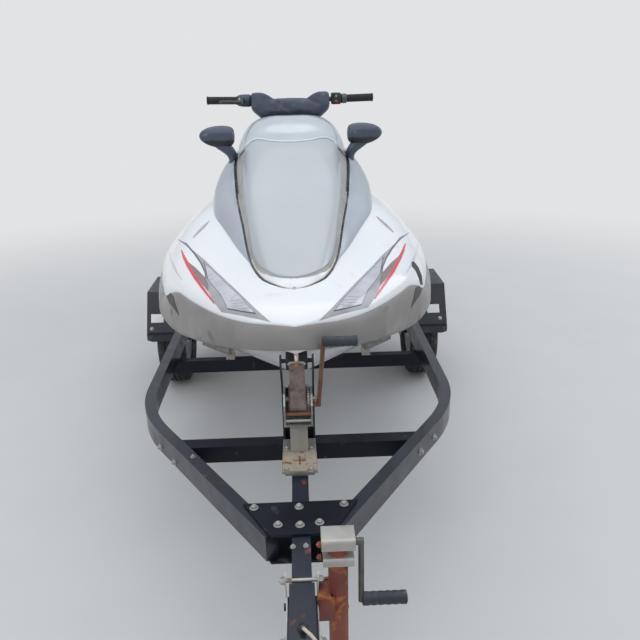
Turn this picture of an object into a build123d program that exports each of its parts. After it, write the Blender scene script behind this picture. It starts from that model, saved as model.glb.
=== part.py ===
"""Personal watercraft on its single-axle road trailer, in millimetres.

Frame: +Z up, the ground is Z = 0, the bow and the coupling point to -Y, +X is the craft's port side.
The origin is on the ground below the middle of the overall length.
Places along the craft are given as b, the distance aft of the bow's tip, and its heights as h, the
height above the lowest line of the keel. at() and up() turn them into Y and Z.
"""
from build123d import *
import math
import os

os.makedirs("parts", exist_ok=True)

# Driving dimensions of the craft
HULL_LENGTH = 3340.0
COUPLER_REACH = 960.0
OVERALL_LENGTH = HULL_LENGTH + COUPLER_REACH
KEEL_Z = 450.0
STERN_Y = OVERALL_LENGTH / 2
BOW_Y = STERN_Y - HULL_LENGTH
BUMPER_THICK = 22.0
CUT = 60.0
TRANSOM_B = 3160.0
RUN_GAP = 6.0
SEAT_GAP = 0.3
HOOD_SKIN = 16.0
HINGE_PIN_R = 4.0
PIN_GAP = 0.3

# Deck openings and the saddle
FLOOR_H = 312.0
FLOOR_THICK = 14.0
WELL_INNER_X = 225.0
WELL_OUTER_X = 460.0
WELL_FRONT_B = 1562.0
WELL_REAR_B = 2950.0
SADDLE_TOP_H = 640.0
SADDLE_FOOT_H = 418.0
ENGINE_WIDE = 400.0
ENGINE_LONG = 600.0
ENGINE_TALL = 360.0
ENGINE_FRONT_B = 1740.0
ENGINE_FLOOR_H = 100.0
ENGINE_ROOM = 6.0

# Steering
STEER_TILT_DEG = 15.0
BAR_B = 1450.0
BAR_H = 1088.0
BAR_R = 11.1
BAR_HALF = 385.0
PAD_AHEAD = 40.0
PAD_DEEP = 68.0
PAD_ROUND = 7.0
GRIP_R = 17.0
GRIP_INNER_X = 242.0
GRIP_OUTER_X = 382.0
COLUMN_R = 19.0

# Jet drive
PUMP_H = 147.0
PUMP_R = 98.0
PUMP_BORE_R = 84.0
PUMP_FRONT_B = 2770.0
PUMP_REAR_B = 3030.0
TAIL_END_B = 3130.0
TAIL_R = 52.0
TUNNEL_X = 135.0
TUNNEL_TOP_H = 250.0
TRANSOM_TOP_H = 335.0
DUCT_X = 110.0
DUCT_FRONT_B = 2350.0
RIDE_PLATE_H = 40.0
RIDE_PLATE_THICK = 8.0
NOZZLE_PIVOT_B = 3150.0
BUCKET_PIVOT_B = 3105.0
BUCKET_PIVOT_H = 130.0
BUCKET_R = 198.0
BUCKET_SKIN = 8.0
BUCKET_CHEEK_X = 104.0
SHAFT_R = 14.0

# Driving dimensions of the trailer
FRAME_TOP = 500.0
RAIL_X = 584.0
RAIL_WIDE = 40.0
RAIL_TALL = 80.0
RAIL_REAR_B = 3250.0
RAIL_TURN_B = 468.0
RAIL_BEND_R = 600.0
RAIL_BEND_DEG = 34.0
RAIL_FRONT_B = -280.0
DRAWBAR_WIDE = 50.0
COUPLER_TIP_B = -COUPLER_REACH
DRAWBAR_TIP_B = COUPLER_TIP_B + 80
NECK_FRONT_B = COUPLER_TIP_B + 68
NECK_REAR_B = COUPLER_TIP_B + 489
COUPLER_WALL = 6.0
NOSE_CROSS_B = 208.0
NOSE_CROSS_DEEP = 56.0
CROSS_B = (1110.0, 2850.0)
CROSS_TALL = 60.0
CROSS_DEEP = 40.0
WHEEL_B = 1830.0
WHEEL_X = 704.0
TYRE_R = 254.0
TYRE_WIDE = 150.0
RIM_R = 156.0
STUB_R = 18.0
RIM_HOLES = 8
AXLE_B = WHEEL_B - 110
BUNK_X = 320.0
BUNK_WIDE = 100.0
BUNK_THICK = 40.0
FENDER_OUT_X = 815.0
FENDER_IN_X = 608.0
FENDER_SKIN = 5.0
JACK_X = 88.0
JACK_B = COUPLER_TIP_B + 480
JACK_TUBE_R = 24.0
JACK_WHEEL_R = 100.0
JACK_TRAIL = 38.0
JACK_LOW_Z = 293.0
JACK_TOP_Z = 680.0
FORK_Z = 219.0
LEG_LONG = 330.0
WINCH_B = 140.0
WINCH_Z = 690.0
WINCH_BASE_Z = 620.0
WINCH_GEAR_R = 46.0
CRANK_HUB_Z = 681.0
CRANK_HUB_B = 118.0
CRANK_GRIP_Z = 948.0
CRANK_GRIP_B = -12.0
STOP_B = 150.0
STOP_R = 25.0
STOP_HALF = 34.0
AXLE_PIN_R = 7.0
LIGHT_BAR_B = 3235.0


def at(b):
    """Y of a place b aft of the bow's tip."""
    return BOW_Y + b


def up(h):
    """Z of a height h above the keel line."""
    return KEEL_Z + h


def block(x0, x1, b0, b1, z0, z1):
    """A box between two corners, along the craft by b."""
    middle = Pos((x0 + x1) / 2, at((b0 + b1) / 2), (z0 + z1) / 2)
    return middle * Box(x1 - x0, b1 - b0, z1 - z0)


def side_profile(points, x0, x1):
    """A (b, h) outline carried from x0 to x1."""
    face = make_face(Polyline(*[(at(b), up(h)) for b, h in points], close=True))
    return extrude(Plane.YZ.offset(x0) * face, x1 - x0)


def plan_profile(points, z0, z1):
    """An (x, b) outline carried from z0 to z1."""
    face = make_face(Polyline(*[(x, at(b)) for x, b in points], close=True))
    return extrude(Plane.XY.offset(z0) * face, z1 - z0)


def rod(start, end, radius):
    """A round bar between two points given as (x, b, h)."""
    p, q = place(*start), place(*end)
    return extrude(Plane(origin=p, z_dir=q - p) * Circle(radius), (q - p).length)


def cross_rod(half, b, h, radius):
    """A round bar across the craft."""
    return rod((-half, b, h), (half, b, h), radius)


def place(x, b, h):
    return Vector(x, at(b), up(h))


def pair(shape):
    """A port piece and its starboard mirror image."""
    return Compound(children=list(shape.solids()) + list(mirror(shape, about=Plane.YZ).solids()))


def edge(p, q, bulge):
    """A line from p to q in a cross-section, or an arc that stands out to its right by bulge."""
    if abs(bulge) < 1e-6:
        return Edge.make_line(p, q)
    along = (q - p).normalized()
    return Edge.make_three_point_arc(p, (p + q) * 0.5 + Vector(along.Z, 0, -along.X) * bulge, q)


def outline(b, points):
    """A closed section at b of (x, h, bulge), where bulge is that of the edge that ends at the point."""
    spots = [place(x, b, h) for x, h, _ in points]
    return Wire([edge(spots[i - 1], spots[i], points[i][2]) for i in range(len(points))])


def symmetric(port, top=0.0):
    """A port half, bottom to top, closed by its mirror image, with a crown of height top."""
    points = list(port)
    for i in range(len(port) - 1, -1, -1):
        x, h, _ = port[i]
        if x:
            points.append((-x, h, port[i + 1][2] if i + 1 < len(port) else top))
    if not port[0][0]:
        points[0] = (0.0, port[0][1], port[1][2])
    return points


def ruled(sections):
    """A solid with straight runs between closed sections given as (b, points)."""
    return Solid.make_loft([outline(b, points) for b, points in sections], ruled=True)


# Body stations. Columns: b, keel h, chine x, chine h, gunwale x, band low h, band high h,
# shoulder x, shoulder h, deck edge x, deck edge h, deck middle h
BODY = [
    (26, 446, 14, 452, 36, 462, 538, 34, 548, 22, 556, 560),
    (80, 432, 48, 444, 136, 446, 528, 126, 545, 88, 564, 572),
    (180, 384, 112, 410, 234, 420, 514, 218, 548, 140, 580, 592),
    (340, 262, 205, 345, 344, 384, 496, 308, 566, 180, 604, 618),
    (500, 165, 285, 295, 438, 362, 474, 380, 586, 212, 630, 646),
    (620, 106, 332, 262, 492, 366, 452, 428, 596, 240, 654, 674),
    (800, 58, 388, 236, 530, 384, 448, 462, 600, 280, 698, 728),
    (980, 24, 428, 215, 558, 382, 446, 486, 594, 312, 728, 772),
    (1200, 8, 458, 203, 576, 378, 442, 500, 584, 312, 737, 790),
    (1420, 0, 478, 196, 588, 374, 438, 508, 572, 300, 720, 770),
    (1640, 0, 486, 192, 592, 371, 435, 514, 556, 290, 632, 642),
    (1900, 0, 490, 190, 592, 368, 433, 520, 536, 280, 552, 566),
    (2400, 0, 490, 190, 586, 363, 428, 518, 498, 280, 492, 500),
    (2850, 0, 484, 190, 568, 359, 423, 506, 462, 280, 452, 458),
    (3340, 0, 470, 190, 531, 355, 418, 488, 430, 280, 428, 434),
]
BODY_COLUMNS = ("b", "keel", "chine_x", "chine_h", "beam", "band_low", "band_high",
                "shoulder_x", "shoulder_h", "edge_x", "edge_h", "middle")
STATIONS = [dict(zip(BODY_COLUMNS, row)) for row in BODY]


def station_at(b):
    """The body's station values at any b, by straight runs between the table's rows."""
    for fore, aft in zip(STATIONS, STATIONS[1:]):
        if b <= aft["b"]:
            break
    share = (b - fore["b"]) / (aft["b"] - fore["b"])
    return {key: fore[key] + (aft[key] - fore[key]) * share for key in BODY_COLUMNS}


def hull_bottom(b, x):
    """Height h of the bottom between keel and chine at x."""
    s = station_at(b)
    return s["keel"] + (s["chine_h"] - s["keel"]) * x / s["chine_x"]


def joint_h(s):
    """Height of the joint between hull and deck, at the middle of the rub band."""
    return (s["band_low"] + s["band_high"]) / 2


def hull_blank():
    rows = []
    for s in STATIONS:
        half = [
            (0.0, s["keel"], 0.0),
            (s["chine_x"], s["chine_h"], 0.0),
            (s["beam"], s["band_low"], -0.015 * s["beam"]),
            (s["beam"], joint_h(s), 0.0),
        ]
        rows.append((s["b"], symmetric(half)))
    return ruled(rows)


def deck_blank():
    rows = []
    for s in STATIONS:
        half = [
            (s["beam"], joint_h(s), 0.0),
            (s["beam"], s["band_high"], 0.0),
            (s["shoulder_x"], s["shoulder_h"], 0.035 * s["beam"]),
            (s["edge_x"], s["edge_h"], -0.01 * s["beam"]),
        ]
        rows.append((s["b"], symmetric(half, s["middle"] - s["edge_h"])))
    return ruled(rows)


# Hood stations. Columns: b, side cover foot x, foot h, seam x, seam h, brow x, brow h, middle h
COWL = [
    (216, 26, 575, 20, 592, 8, 596, 598),
    (242, 66, 575, 60, 597, 38, 610, 616),
    (290, 110, 580, 102, 606, 78, 628, 638),
    (410, 156, 600, 143, 626, 114, 670, 684),
    (600, 226, 632, 178, 704, 146, 742, 758),
    (900, 322, 702, 222, 796, 172, 876, 892),
    (1100, 338, 730, 237, 880, 176, 958, 977),
    (1300, 326, 738, 212, 925, 158, 1012, 1036),
    (1430, 290, 726, 200, 900, 140, 955, 975),
    (1560, 246, 700, 190, 850, 130, 880, 892),
]
COWL_COLUMNS = ("b", "foot_x", "foot_h", "seam_x", "seam_h", "brow_x", "brow_h", "middle")
COWL_STATIONS = [dict(zip(COWL_COLUMNS, row)) for row in COWL]
HOOD_REAR_B = 1300
HOOD_STATIONS = [s for s in COWL_STATIONS if s["b"] <= HOOD_REAR_B]
VISOR_FRONT_B = 900
VISOR_STAND = 14.0
HOOD_HINGE_B = 246.0
HOOD_HINGE_H = 578.0
HOOD_LUG_HALF = 20.0
HINGE_EAR_WIDE = 8.0
WELL_GAP = 6.0
WELL_NOSE_SHIFT = 22.0


def hood_half(s, out):
    """The hood's port half from seam to brow, moved out by out."""
    return [(s["seam_x"] + out, s["seam_h"], 0.0), (s["brow_x"] + out * 0.7, s["brow_h"] + out * 0.7, 6.0)]


def hood_shell(stations, inner, outer):
    """A skin between two outlines of the hood, each moved out by a distance for each station."""
    rows = []
    for s in stations:
        i, o = inner(s), outer(s)
        out, inn = hood_half(s, o), hood_half(s, i)
        top_out = s["middle"] + o - out[1][1]
        top_in = s["middle"] + i - inn[1][1]
        points = [out[0], out[1], (-out[1][0], out[1][1], top_out), (-out[0][0], out[0][1], 6.0),
                  (-inn[0][0], inn[0][1], 0.0), (-inn[1][0], inn[1][1], -6.0),
                  (inn[1][0], inn[1][1], -top_in), (inn[0][0], inn[0][1], -6.0)]
        rows.append((s["b"], points))
    return ruled(rows)


def make_hood():
    skin = hood_shell(HOOD_STATIONS, lambda s: -min(HOOD_SKIN, s["seam_x"] * 0.4), lambda s: 0.0)
    hinge = (HOOD_HINGE_B, HOOD_HINGE_H)
    lug = block(-HOOD_LUG_HALF, HOOD_LUG_HALF, hinge[0] - 9, hinge[0] + 9, up(hinge[1] - 9), up(hinge[1] + 27))
    lug -= cross_rod(HOOD_LUG_HALF + 10, *hinge, HINGE_PIN_R + PIN_GAP)
    return skin + lug


def make_visor():
    rows = [s for s in HOOD_STATIONS if s["b"] >= VISOR_FRONT_B]
    span = HOOD_REAR_B - VISOR_FRONT_B

    def stand(s):
        return 1.0 + VISOR_STAND * (s["b"] - VISOR_FRONT_B) / span

    sheet = hood_shell(rows, lambda s: 0.0, stand)
    half = [(120, 1052), (176, 1075), (230, 1140), (230, HOOD_REAR_B + 10)]
    keep = plan_profile(half + [(-x, b) for x, b in reversed(half)], up(700), up(1200))
    return sheet & keep


def seam_plan(extra, rear_b):
    """The hood's seam line seen from above, moved out by extra, and ahead at the nose."""
    port = []
    for s in COWL_STATIONS:
        if s["b"] <= rear_b:
            ahead = WELL_NOSE_SHIFT if s["b"] < 300 else 0.0
            port.append((s["seam_x"] + extra, s["b"] - ahead))
    return port + [(-x, b) for x, b in reversed(port)]


def make_hull():
    hull = hull_blank()
    below, beam = up(-CUT), 700
    hull -= block(-beam, beam, TRANSOM_B, HULL_LENGTH + CUT, below, up(TRANSOM_TOP_H))
    hull -= block(-TUNNEL_X, TUNNEL_X, BUCKET_PIVOT_B - 30, TRANSOM_B + 10, below, up(TRANSOM_TOP_H))
    hull -= block(-TUNNEL_X, TUNNEL_X, PUMP_FRONT_B, TRANSOM_B + 10, below, up(TUNNEL_TOP_H))
    roof = PUMP_H + PUMP_BORE_R
    hull -= side_profile([(DUCT_FRONT_B, -30), (PUMP_FRONT_B + 5, -30), (PUMP_FRONT_B + 5, roof),
                          (PUMP_FRONT_B - 60, roof), (DUCT_FRONT_B, 40)], -DUCT_X, DUCT_X)
    hull -= engine_room()
    hull -= tub()
    engine_rear_b = ENGINE_FRONT_B + ENGINE_LONG
    hull -= rod((0, engine_rear_b - 20, PUMP_H), (0, PUMP_FRONT_B - 40, PUMP_H), SHAFT_R + RUN_GAP)
    for strake in make_strakes():
        hull += strake
    return hull


# Lifting strakes under the bottom. Columns: b, x of the inner edge, width, depth
STRAKE = [(900, 196, 4, 1), (1150, 214, 20, 9), (1420, 222, 24, 12), (2300, 222, 24, 12)]


def make_strakes():
    """Two wedge-shaped strips along the bottom, from the forefoot to ahead of the intake."""
    rows = []
    for b, x, wide, deep in STRAKE:
        outer = x + wide
        rows.append((b, [(x, hull_bottom(b, x) + 2, 0.0), (outer, hull_bottom(b, outer) - deep, 0.0),
                         (outer, hull_bottom(b, outer) + 2, 0.0)]))
    strip = ruled(rows)
    return strip, mirror(strip, about=Plane.YZ)


def engine_room():
    half = ENGINE_WIDE / 2 + ENGINE_ROOM
    return block(-half, half, ENGINE_FRONT_B - ENGINE_ROOM, ENGINE_FRONT_B + ENGINE_LONG + ENGINE_ROOM,
                 up(ENGINE_FLOOR_H), up(ENGINE_FLOOR_H + ENGINE_TALL + ENGINE_ROOM))


def make_engine():
    half = ENGINE_WIDE / 2
    return block(-half, half, ENGINE_FRONT_B, ENGINE_FRONT_B + ENGINE_LONG,
                 up(ENGINE_FLOOR_H), up(ENGINE_FLOOR_H + ENGINE_TALL))


def tub():
    """The part of the deck that hangs into the hull below the joint."""
    half = WELL_OUTER_X + FLOOR_THICK
    return block(-half, half, WELL_FRONT_B - FLOOR_THICK, WELL_REAR_B + FLOOR_THICK,
                 up(FLOOR_H - FLOOR_THICK), up(430))


def foot_well(side):
    points = [(WELL_FRONT_B, 900), (WELL_FRONT_B, FLOOR_H + 90), (WELL_FRONT_B + 90, FLOOR_H),
              (WELL_REAR_B - 110, FLOOR_H), (WELL_REAR_B, FLOOR_H + 125), (WELL_REAR_B, 900)]
    low, high = sorted((side * WELL_INNER_X, side * WELL_OUTER_X))
    return side_profile(points, low, high)


STORE_HALF = 150.0
STORE_FRONT_B = 560.0
STORE_REAR_B = 1150.0
STORE_FLOOR_H = 500.0
SEAT_FRONT_B = 1700.0
SEAT_SPLIT_B = 2169.0
SEAT_REAR_B = 2785.0
SEAT_HALF = 190.0

# Saddle stations. Columns: b, half width at the floor, half width on top, top h
SADDLE = [(1480, 205, 175, SADDLE_TOP_H + 60), (1690, 205, 185, SADDLE_TOP_H), (2865, 198, 178, SADDLE_TOP_H)]


def make_deck():
    deck = deck_blank()
    body = deck
    deck = deck + (tub() & block(-700, 700, 1500, 3000, up(200), up(420)))
    for side in (-1, 1):
        deck -= foot_well(side)
    saddle = [(b, symmetric([(low, SADDLE_FOOT_H, 0.0), (top_x, top, 8.0)], 0.0)) for b, low, top_x, top in SADDLE]
    deck += ruled(saddle)
    deck -= block(-SEAT_HALF, SEAT_HALF, SEAT_FRONT_B - RUN_GAP, SEAT_REAR_B + RUN_GAP,
                  up(SADDLE_TOP_H), up(SADDLE_TOP_H + 300))
    deck -= engine_room()
    hinge = (HOOD_HINGE_B, HOOD_HINGE_H)
    well = plan_profile(seam_plan(WELL_GAP, HOOD_REAR_B), up(HOOD_HINGE_H - 60), up(1000))
    floor = side_profile([(HOOD_HINGE_B - 80, hinge[1] - 38), (hinge[0] + 18, hinge[1] - 38), (300, 562), (410, 592),
                          (600, 650), (900, 698), (HOOD_REAR_B + 30, 730), (HOOD_REAR_B + 30, 1000),
                          (HOOD_HINGE_B - 80, 1000)], -300, 300)
    deck -= well & floor
    deck -= block(-STORE_HALF, STORE_HALF, STORE_FRONT_B, STORE_REAR_B, up(STORE_FLOOR_H), up(900))
    for side in (-1, 1):
        low, high = sorted((side * (HOOD_LUG_HALF + 1), side * (HOOD_LUG_HALF + 1 + HINGE_EAR_WIDE)))
        deck += block(low, high, hinge[0] - 6, hinge[0] + 6, up(hinge[1] - 42), up(hinge[1] + 6))
    deck += cross_rod(HOOD_LUG_HALF + 1 + HINGE_EAR_WIDE, *hinge, HINGE_PIN_R)
    return deck, body


def make_side_cover(deck_body):
    rows = []
    for s in COWL_STATIONS[2:]:
        inner = s["seam_x"] + RUN_GAP
        wide = s["foot_x"] - inner
        points = [(inner, s["foot_h"] - 110, 0.0), (s["foot_x"], s["foot_h"] - 110, 0.0),
                  (s["foot_x"], s["foot_h"], 0.0), (inner, s["seam_h"], 0.26 * wide)]
        rows.append((s["b"], points))
    cover = ruled(rows) - deck_body
    return max(cover.solids(), key=lambda solid: solid.volume)


def band_loft(stations, thick):
    rows = []
    for s, low, high in stations:
        tall = high - low
        points = [(s["beam"], low, 0.0), (s["beam"] + thick * 0.7, low + 2, 0.0),
                  (s["beam"] + thick, low + tall * 0.3, 0.0), (s["beam"] + thick * 0.45, high - 3, 0.02 * tall),
                  (s["beam"], high, 0.0)]
        rows.append((s["b"], points))
    return ruled(rows)


BUMPER_REAR_B = 655.0
NOTCH_B = 606.0
RAIL_START_B = BUMPER_REAR_B + 4


def make_bow_bumper():
    """One moulding round the bow, deepest where it ends at the flanks."""
    rows = [(s, s["band_low"], s["band_high"]) for s in STATIONS if s["b"] <= 620]
    tip = station_at(BUMPER_REAR_B)
    rows.append((tip, tip["band_low"] + 34, tip["band_high"] - 14))
    side = band_loft(rows, BUMPER_THICK)
    first = STATIONS[0]
    wide = first["beam"] + BUMPER_THICK * 0.8
    low, high = first["band_low"], first["band_high"]
    nose = ruled([
        (2.0, symmetric([(wide * 0.5, low + 12, 0.0), (wide * 0.5, high - 16, 0.0)])),
        (12.0, symmetric([(wide * 0.85, low + 4, 0.0), (wide * 0.85, high - 6, 0.0)])),
        (first["b"], symmetric([(wide, low, 0.0), (wide, high, 0.0)])),
    ])
    bumper = nose + side + mirror(side, about=Plane.YZ)
    for sign in (-1, 1):
        bumper -= bumper_notch(sign)
    return bumper


def bumper_notch(sign):
    """The wedge-shaped notch at each end of the bumper, narrowing towards the bow."""
    s = station_at(NOTCH_B)
    outline_points = [(NOTCH_B, s["band_high"] - 4), (NOTCH_B + 26, s["band_high"] - 24), (NOTCH_B - 62, s["band_low"] + 30)]
    low, high = sorted((sign * (s["beam"] - 60), sign * (s["beam"] + BUMPER_THICK + 5)))
    wedge = side_profile(outline_points, low, high)
    keep = band_loft([(t, t["band_low"], t["band_high"] + 10) for t in (station_at(500), station_at(BUMPER_REAR_B))],
                     BUMPER_THICK * 0.5)
    return wedge - (keep if sign > 0 else mirror(keep, about=Plane.YZ))


def make_side_rail():
    start = station_at(RAIL_START_B)
    rows = [(start, start["band_low"] + 30, start["band_high"] - 12)]
    rows += [(s, s["band_low"], s["band_high"]) for s in STATIONS if s["b"] > RAIL_START_B]
    return band_loft(rows, BUMPER_THICK)


# Console stations. Columns: b, half width at the deck, half width on top, top h
CONSOLE_TOP_H = BAR_H - 158
CONSOLE_FOOT_H = 600.0
CONSOLE = [(1308, 178, 112, CONSOLE_TOP_H), (1430, 178, 118, CONSOLE_TOP_H), (1540, 176, 124, CONSOLE_TOP_H - 80),
           (1640, 168, 130, CONSOLE_TOP_H - 230)]
LID_WIDE = 170.0
LID_THICK = 9.0
LID_HINGE_B = 1548.0
LID_PIN_RISE = 17.0


def slope_h(b):
    """Height of the console's rear slope."""
    (b0, _, _, h0), (b1, _, _, h1) = CONSOLE[2], CONSOLE[3]
    return h0 + (h1 - h0) * (b - b0) / (b1 - b0)


def make_console(deck):
    rows = [(b, symmetric([(low, CONSOLE_FOOT_H, 0.0), (top_x, top, 8.0)], 0.0)) for b, low, top_x, top in CONSOLE]
    console = ruled(rows) - deck
    console = max(console.solids(), key=lambda solid: solid.volume)
    console -= side_profile([(1560, slope_h(1560) + 10), (1560, slope_h(1560) - 85), (1610, slope_h(1610) - 25),
                             (1622, slope_h(1622) + 10)], -70, 70)
    for side in (-1, 1):
        low, high = sorted((side * 88, side * 96))
        console += block(low, high, LID_HINGE_B - 12, LID_HINGE_B + 10,
                         up(slope_h(LID_HINGE_B) - 12), up(slope_h(LID_HINGE_B) + LID_PIN_RISE + 7))
    console += lid_pin(96, HINGE_PIN_R)
    boss = rod(on_column(176), on_column(122), COLUMN_R + 12)
    console += boss & block(-200, 200, 1300, 1600, up(CONSOLE_TOP_H - 30), up(CONSOLE_TOP_H + 170))
    console -= rod(on_column(171), on_column(80), COLUMN_R + PIN_GAP)
    return console


def lid_pin(half, radius):
    h = slope_h(LID_HINGE_B) + LID_PIN_RISE
    return rod((-half, LID_HINGE_B, h), (half, LID_HINGE_B, h), radius)


def make_glovebox_lid():
    def on_slope(b, out):
        return (b + out * 0.83, slope_h(b) + out * 0.55)

    plate = side_profile([on_slope(1552, 1.0), on_slope(1630, 1.0), on_slope(1630, LID_THICK), on_slope(1552, LID_THICK)],
                         -LID_WIDE / 2 + 1, LID_WIDE / 2 - 1)
    h = slope_h(LID_HINGE_B) + LID_PIN_RISE
    eye = rod((-80, LID_HINGE_B, h), (80, LID_HINGE_B, h), 7.5)
    arm = side_profile([(LID_HINGE_B - 2, h + 7), (LID_HINGE_B + 4, h - 6), on_slope(1560, 1.5), on_slope(1560, LID_THICK)],
                       -80, 80)
    return (plate + arm + eye) - lid_pin(100, HINGE_PIN_R + PIN_GAP)


def make_cluster():
    top = CONSOLE_TOP_H
    return side_profile([(1312, top), (1312, top + 55), (1322, top + 66), (1368, top + 14), (1368, top)], -92, 92)


def on_column(distance, x=0.0, ahead=0.0):
    """A point on the steering axis, distance below the handlebar's clamp."""
    tilt = math.radians(STEER_TILT_DEG)
    b = BAR_B - distance * math.sin(tilt) - ahead * math.cos(tilt)
    h = BAR_H - distance * math.cos(tilt) + ahead * math.sin(tilt)
    return (x, b, h)


# Handlebar's port half. Columns: x, b, h
BAR_PATH = [(62, BAR_B, BAR_H), (150, BAR_B + 2, BAR_H + 26), (BAR_HALF, BAR_B + 26, BAR_H + 30)]


def make_handlebar():
    spots = [place(-x, b, h) for x, b, h in reversed(BAR_PATH)] + [place(x, b, h) for x, b, h in BAR_PATH]
    path = FilletPolyline(*spots, radius=40)
    bar = sweep(Plane(origin=spots[0], z_dir=spots[1] - spots[0]) * Circle(BAR_R), path=path)
    stem = rod(on_column(170), on_column(-4), COLUMN_R)
    clamp = block(-34, 34, BAR_B - 24, BAR_B + 24, up(BAR_H - 22), up(BAR_H + 22))
    return bar + stem + clamp


def along_grip(x):
    """A point on the handlebar's outer run at x."""
    (x0, b0, h0), (x1, b1, h1) = BAR_PATH[1], BAR_PATH[2]
    share = (x - x0) / (x1 - x0)
    return (x, b0 + (b1 - b0) * share, h0 + (h1 - h0) * share)


def sleeve(x0, x1, radius, bore):
    """A tube round the handlebar's outer run."""
    solid = rod(along_grip(x0), along_grip(x1), radius)
    return solid - rod(along_grip(x0 - 5), along_grip(x1 + 5), bore)


def make_grips():
    return pair(sleeve(GRIP_INNER_X, GRIP_OUTER_X, GRIP_R, BAR_R + SEAT_GAP))


def make_throttle():
    ring = sleeve(200, 236, 24, BAR_R + SEAT_GAP)
    x, b, h = along_grip(222)
    lever = side_profile([(b - 20, h - 8), (b - 62, h - 14), (b - 66, h + 2), (b - 20, h + 12)], x - 8, x + 8)
    finger = block(x - 8, x + 96, b - 66, b - 54, up(h - 12), up(h + 4))
    return mirror(ring + lever + finger, about=Plane.YZ)


def make_switch_box():
    x, b, h = along_grip(212)
    box = block(190, 234, b - 26, b + 26, up(h - 24), up(h + 27))
    return fillet(box.edges(), 6) - rod(along_grip(180), along_grip(240), BAR_R + SEAT_GAP)


def make_steering_pad():
    """The moulded pad over the bar, a gull wing in front view, leaning with the column."""
    half = [(0, 36), (82, 34), (106, 48), (134, 57), (184, 54), (184, -16), (138, -56), (100, -62), (0, -62)]
    points = half + [(-x, y) for x, y in reversed(half[1:-1])]
    tilt = math.radians(STEER_TILT_DEG)
    plane = Plane(origin=place(*on_column(0, ahead=PAD_AHEAD)), x_dir=(1, 0, 0),
                  z_dir=(0, -math.cos(tilt), math.sin(tilt)))
    face = make_face(Polyline(*points, close=True))
    return extrude(plane * fillet(face.vertices(), PAD_ROUND), -PAD_DEEP)


# Mirror housing. Columns: x, half depth, half height, middle h
MIRROR_ROUNDING = [(240, 25, 31, 984), (264, 33, 42, 982), (312, 34, 44, 982), (350, 28, 35, 984), (376, 16, 20, 985),
                   (386, 6, 8, 985)]
MIRROR_B = 1124.0


def make_mirror():
    """A housing drawn out to a tip, flat where its glass faces aft, on an arm from the side cover."""
    sections = [Plane(origin=place(x, MIRROR_B, h), x_dir=(0, 1, 0), z_dir=(1, 0, 0)) * Ellipse(deep, tall)
                for x, deep, tall, h in MIRROR_ROUNDING]
    shell = loft(sections, ruled=True)
    shell -= block(200, 400, MIRROR_B + 14, MIRROR_B + 60, up(900), up(1060))
    arm = [Plane(origin=place(x, b, h), x_dir=(0, 1, 0), z_dir=(0.5, 0, 0.86)) * Ellipse(deep, wide)
           for x, b, h, deep, wide in ((272, MIRROR_B + 18, 830, 30, 15), (268, MIRROR_B + 14, 900, 24, 13),
                                       (270, MIRROR_B, 955, 15, 14))]
    return shell + loft(arm, ruled=True)


# Seat stations. Columns: b, half width at the base, half width at the top's edge, edge and middle above the saddle
FRONT_SEAT = [(SEAT_FRONT_B, 120, 96, 95, 112), (1790, 165, 135, 130, 148), (1960, 180, 150, 122, 136),
              (2120, 182, 156, 132, 146), (SEAT_SPLIT_B - 1, 182, 150, 160, 175)]
REAR_SEAT = [(SEAT_SPLIT_B + 1, 182, 148, 172, 188), (2230, 182, 150, 182, 202), (2500, 180, 150, 175, 192),
             (2740, 174, 140, 182, 198), (SEAT_REAR_B, 166, 126, 150, 160)]


def make_seat(table):
    rows = []
    base = SADDLE_TOP_H + SEAT_GAP
    for b, low, top_x, edge_rise, middle_rise in table:
        half = [(low - 8, base, 0.0), (low, SADDLE_TOP_H + 34, 0.0), (top_x, SADDLE_TOP_H + edge_rise, 12.0)]
        rows.append((b, symmetric(half, middle_rise - edge_rise)))
    return ruled(rows)


GRAB_X = 142.0
GRAB_B = 2826.0
GRAB_RISE = 108.0


def make_grab_handle():
    base, top = SADDLE_TOP_H, SADDLE_TOP_H + GRAB_RISE
    spots = [place(x, GRAB_B, h) for x, h in ((GRAB_X, base), (GRAB_X, top), (-GRAB_X, top), (-GRAB_X, base))]
    path = FilletPolyline(*spots, radius=42)
    bar = sweep(Plane(origin=spots[0], z_dir=spots[1] - spots[0]) * Circle(13), path=path)
    feet = [rod((x, GRAB_B, base), (x, GRAB_B, base + 8), 26) for x in (-GRAB_X, GRAB_X)]
    return bar + feet[0] + feet[1]


MAT_THICK = 6.0
REAR_MAT_FRONT_B = 2975.0
REAR_MAT_REAR_B = HULL_LENGTH - 50
REAR_MAT_HALF = 265.0


def make_mats():
    side = block(WELL_INNER_X + 14, WELL_OUTER_X - 14, WELL_FRONT_B + 110, WELL_REAR_B - 130,
                 up(FLOOR_H), up(FLOOR_H + MAT_THICK))
    rows = []
    for s in (station_at(REAR_MAT_FRONT_B), station_at(REAR_MAT_REAR_B)):
        low, high = s["edge_h"] - 8, s["middle"] + MAT_THICK
        rows.append((s["b"], [(-REAR_MAT_HALF, low, 0.0), (REAR_MAT_HALF, low, 0.0), (REAR_MAT_HALF, high, 0.0),
                              (-REAR_MAT_HALF, high, 0.0)]))
    return side, ruled(rows)


STEP_HINGE_B = 3196.0
STEP_HINGE_H = 160.0
STEP_X0 = 170.0
STEP_X1 = 410.0
STEP_TALL = 130.0


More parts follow.
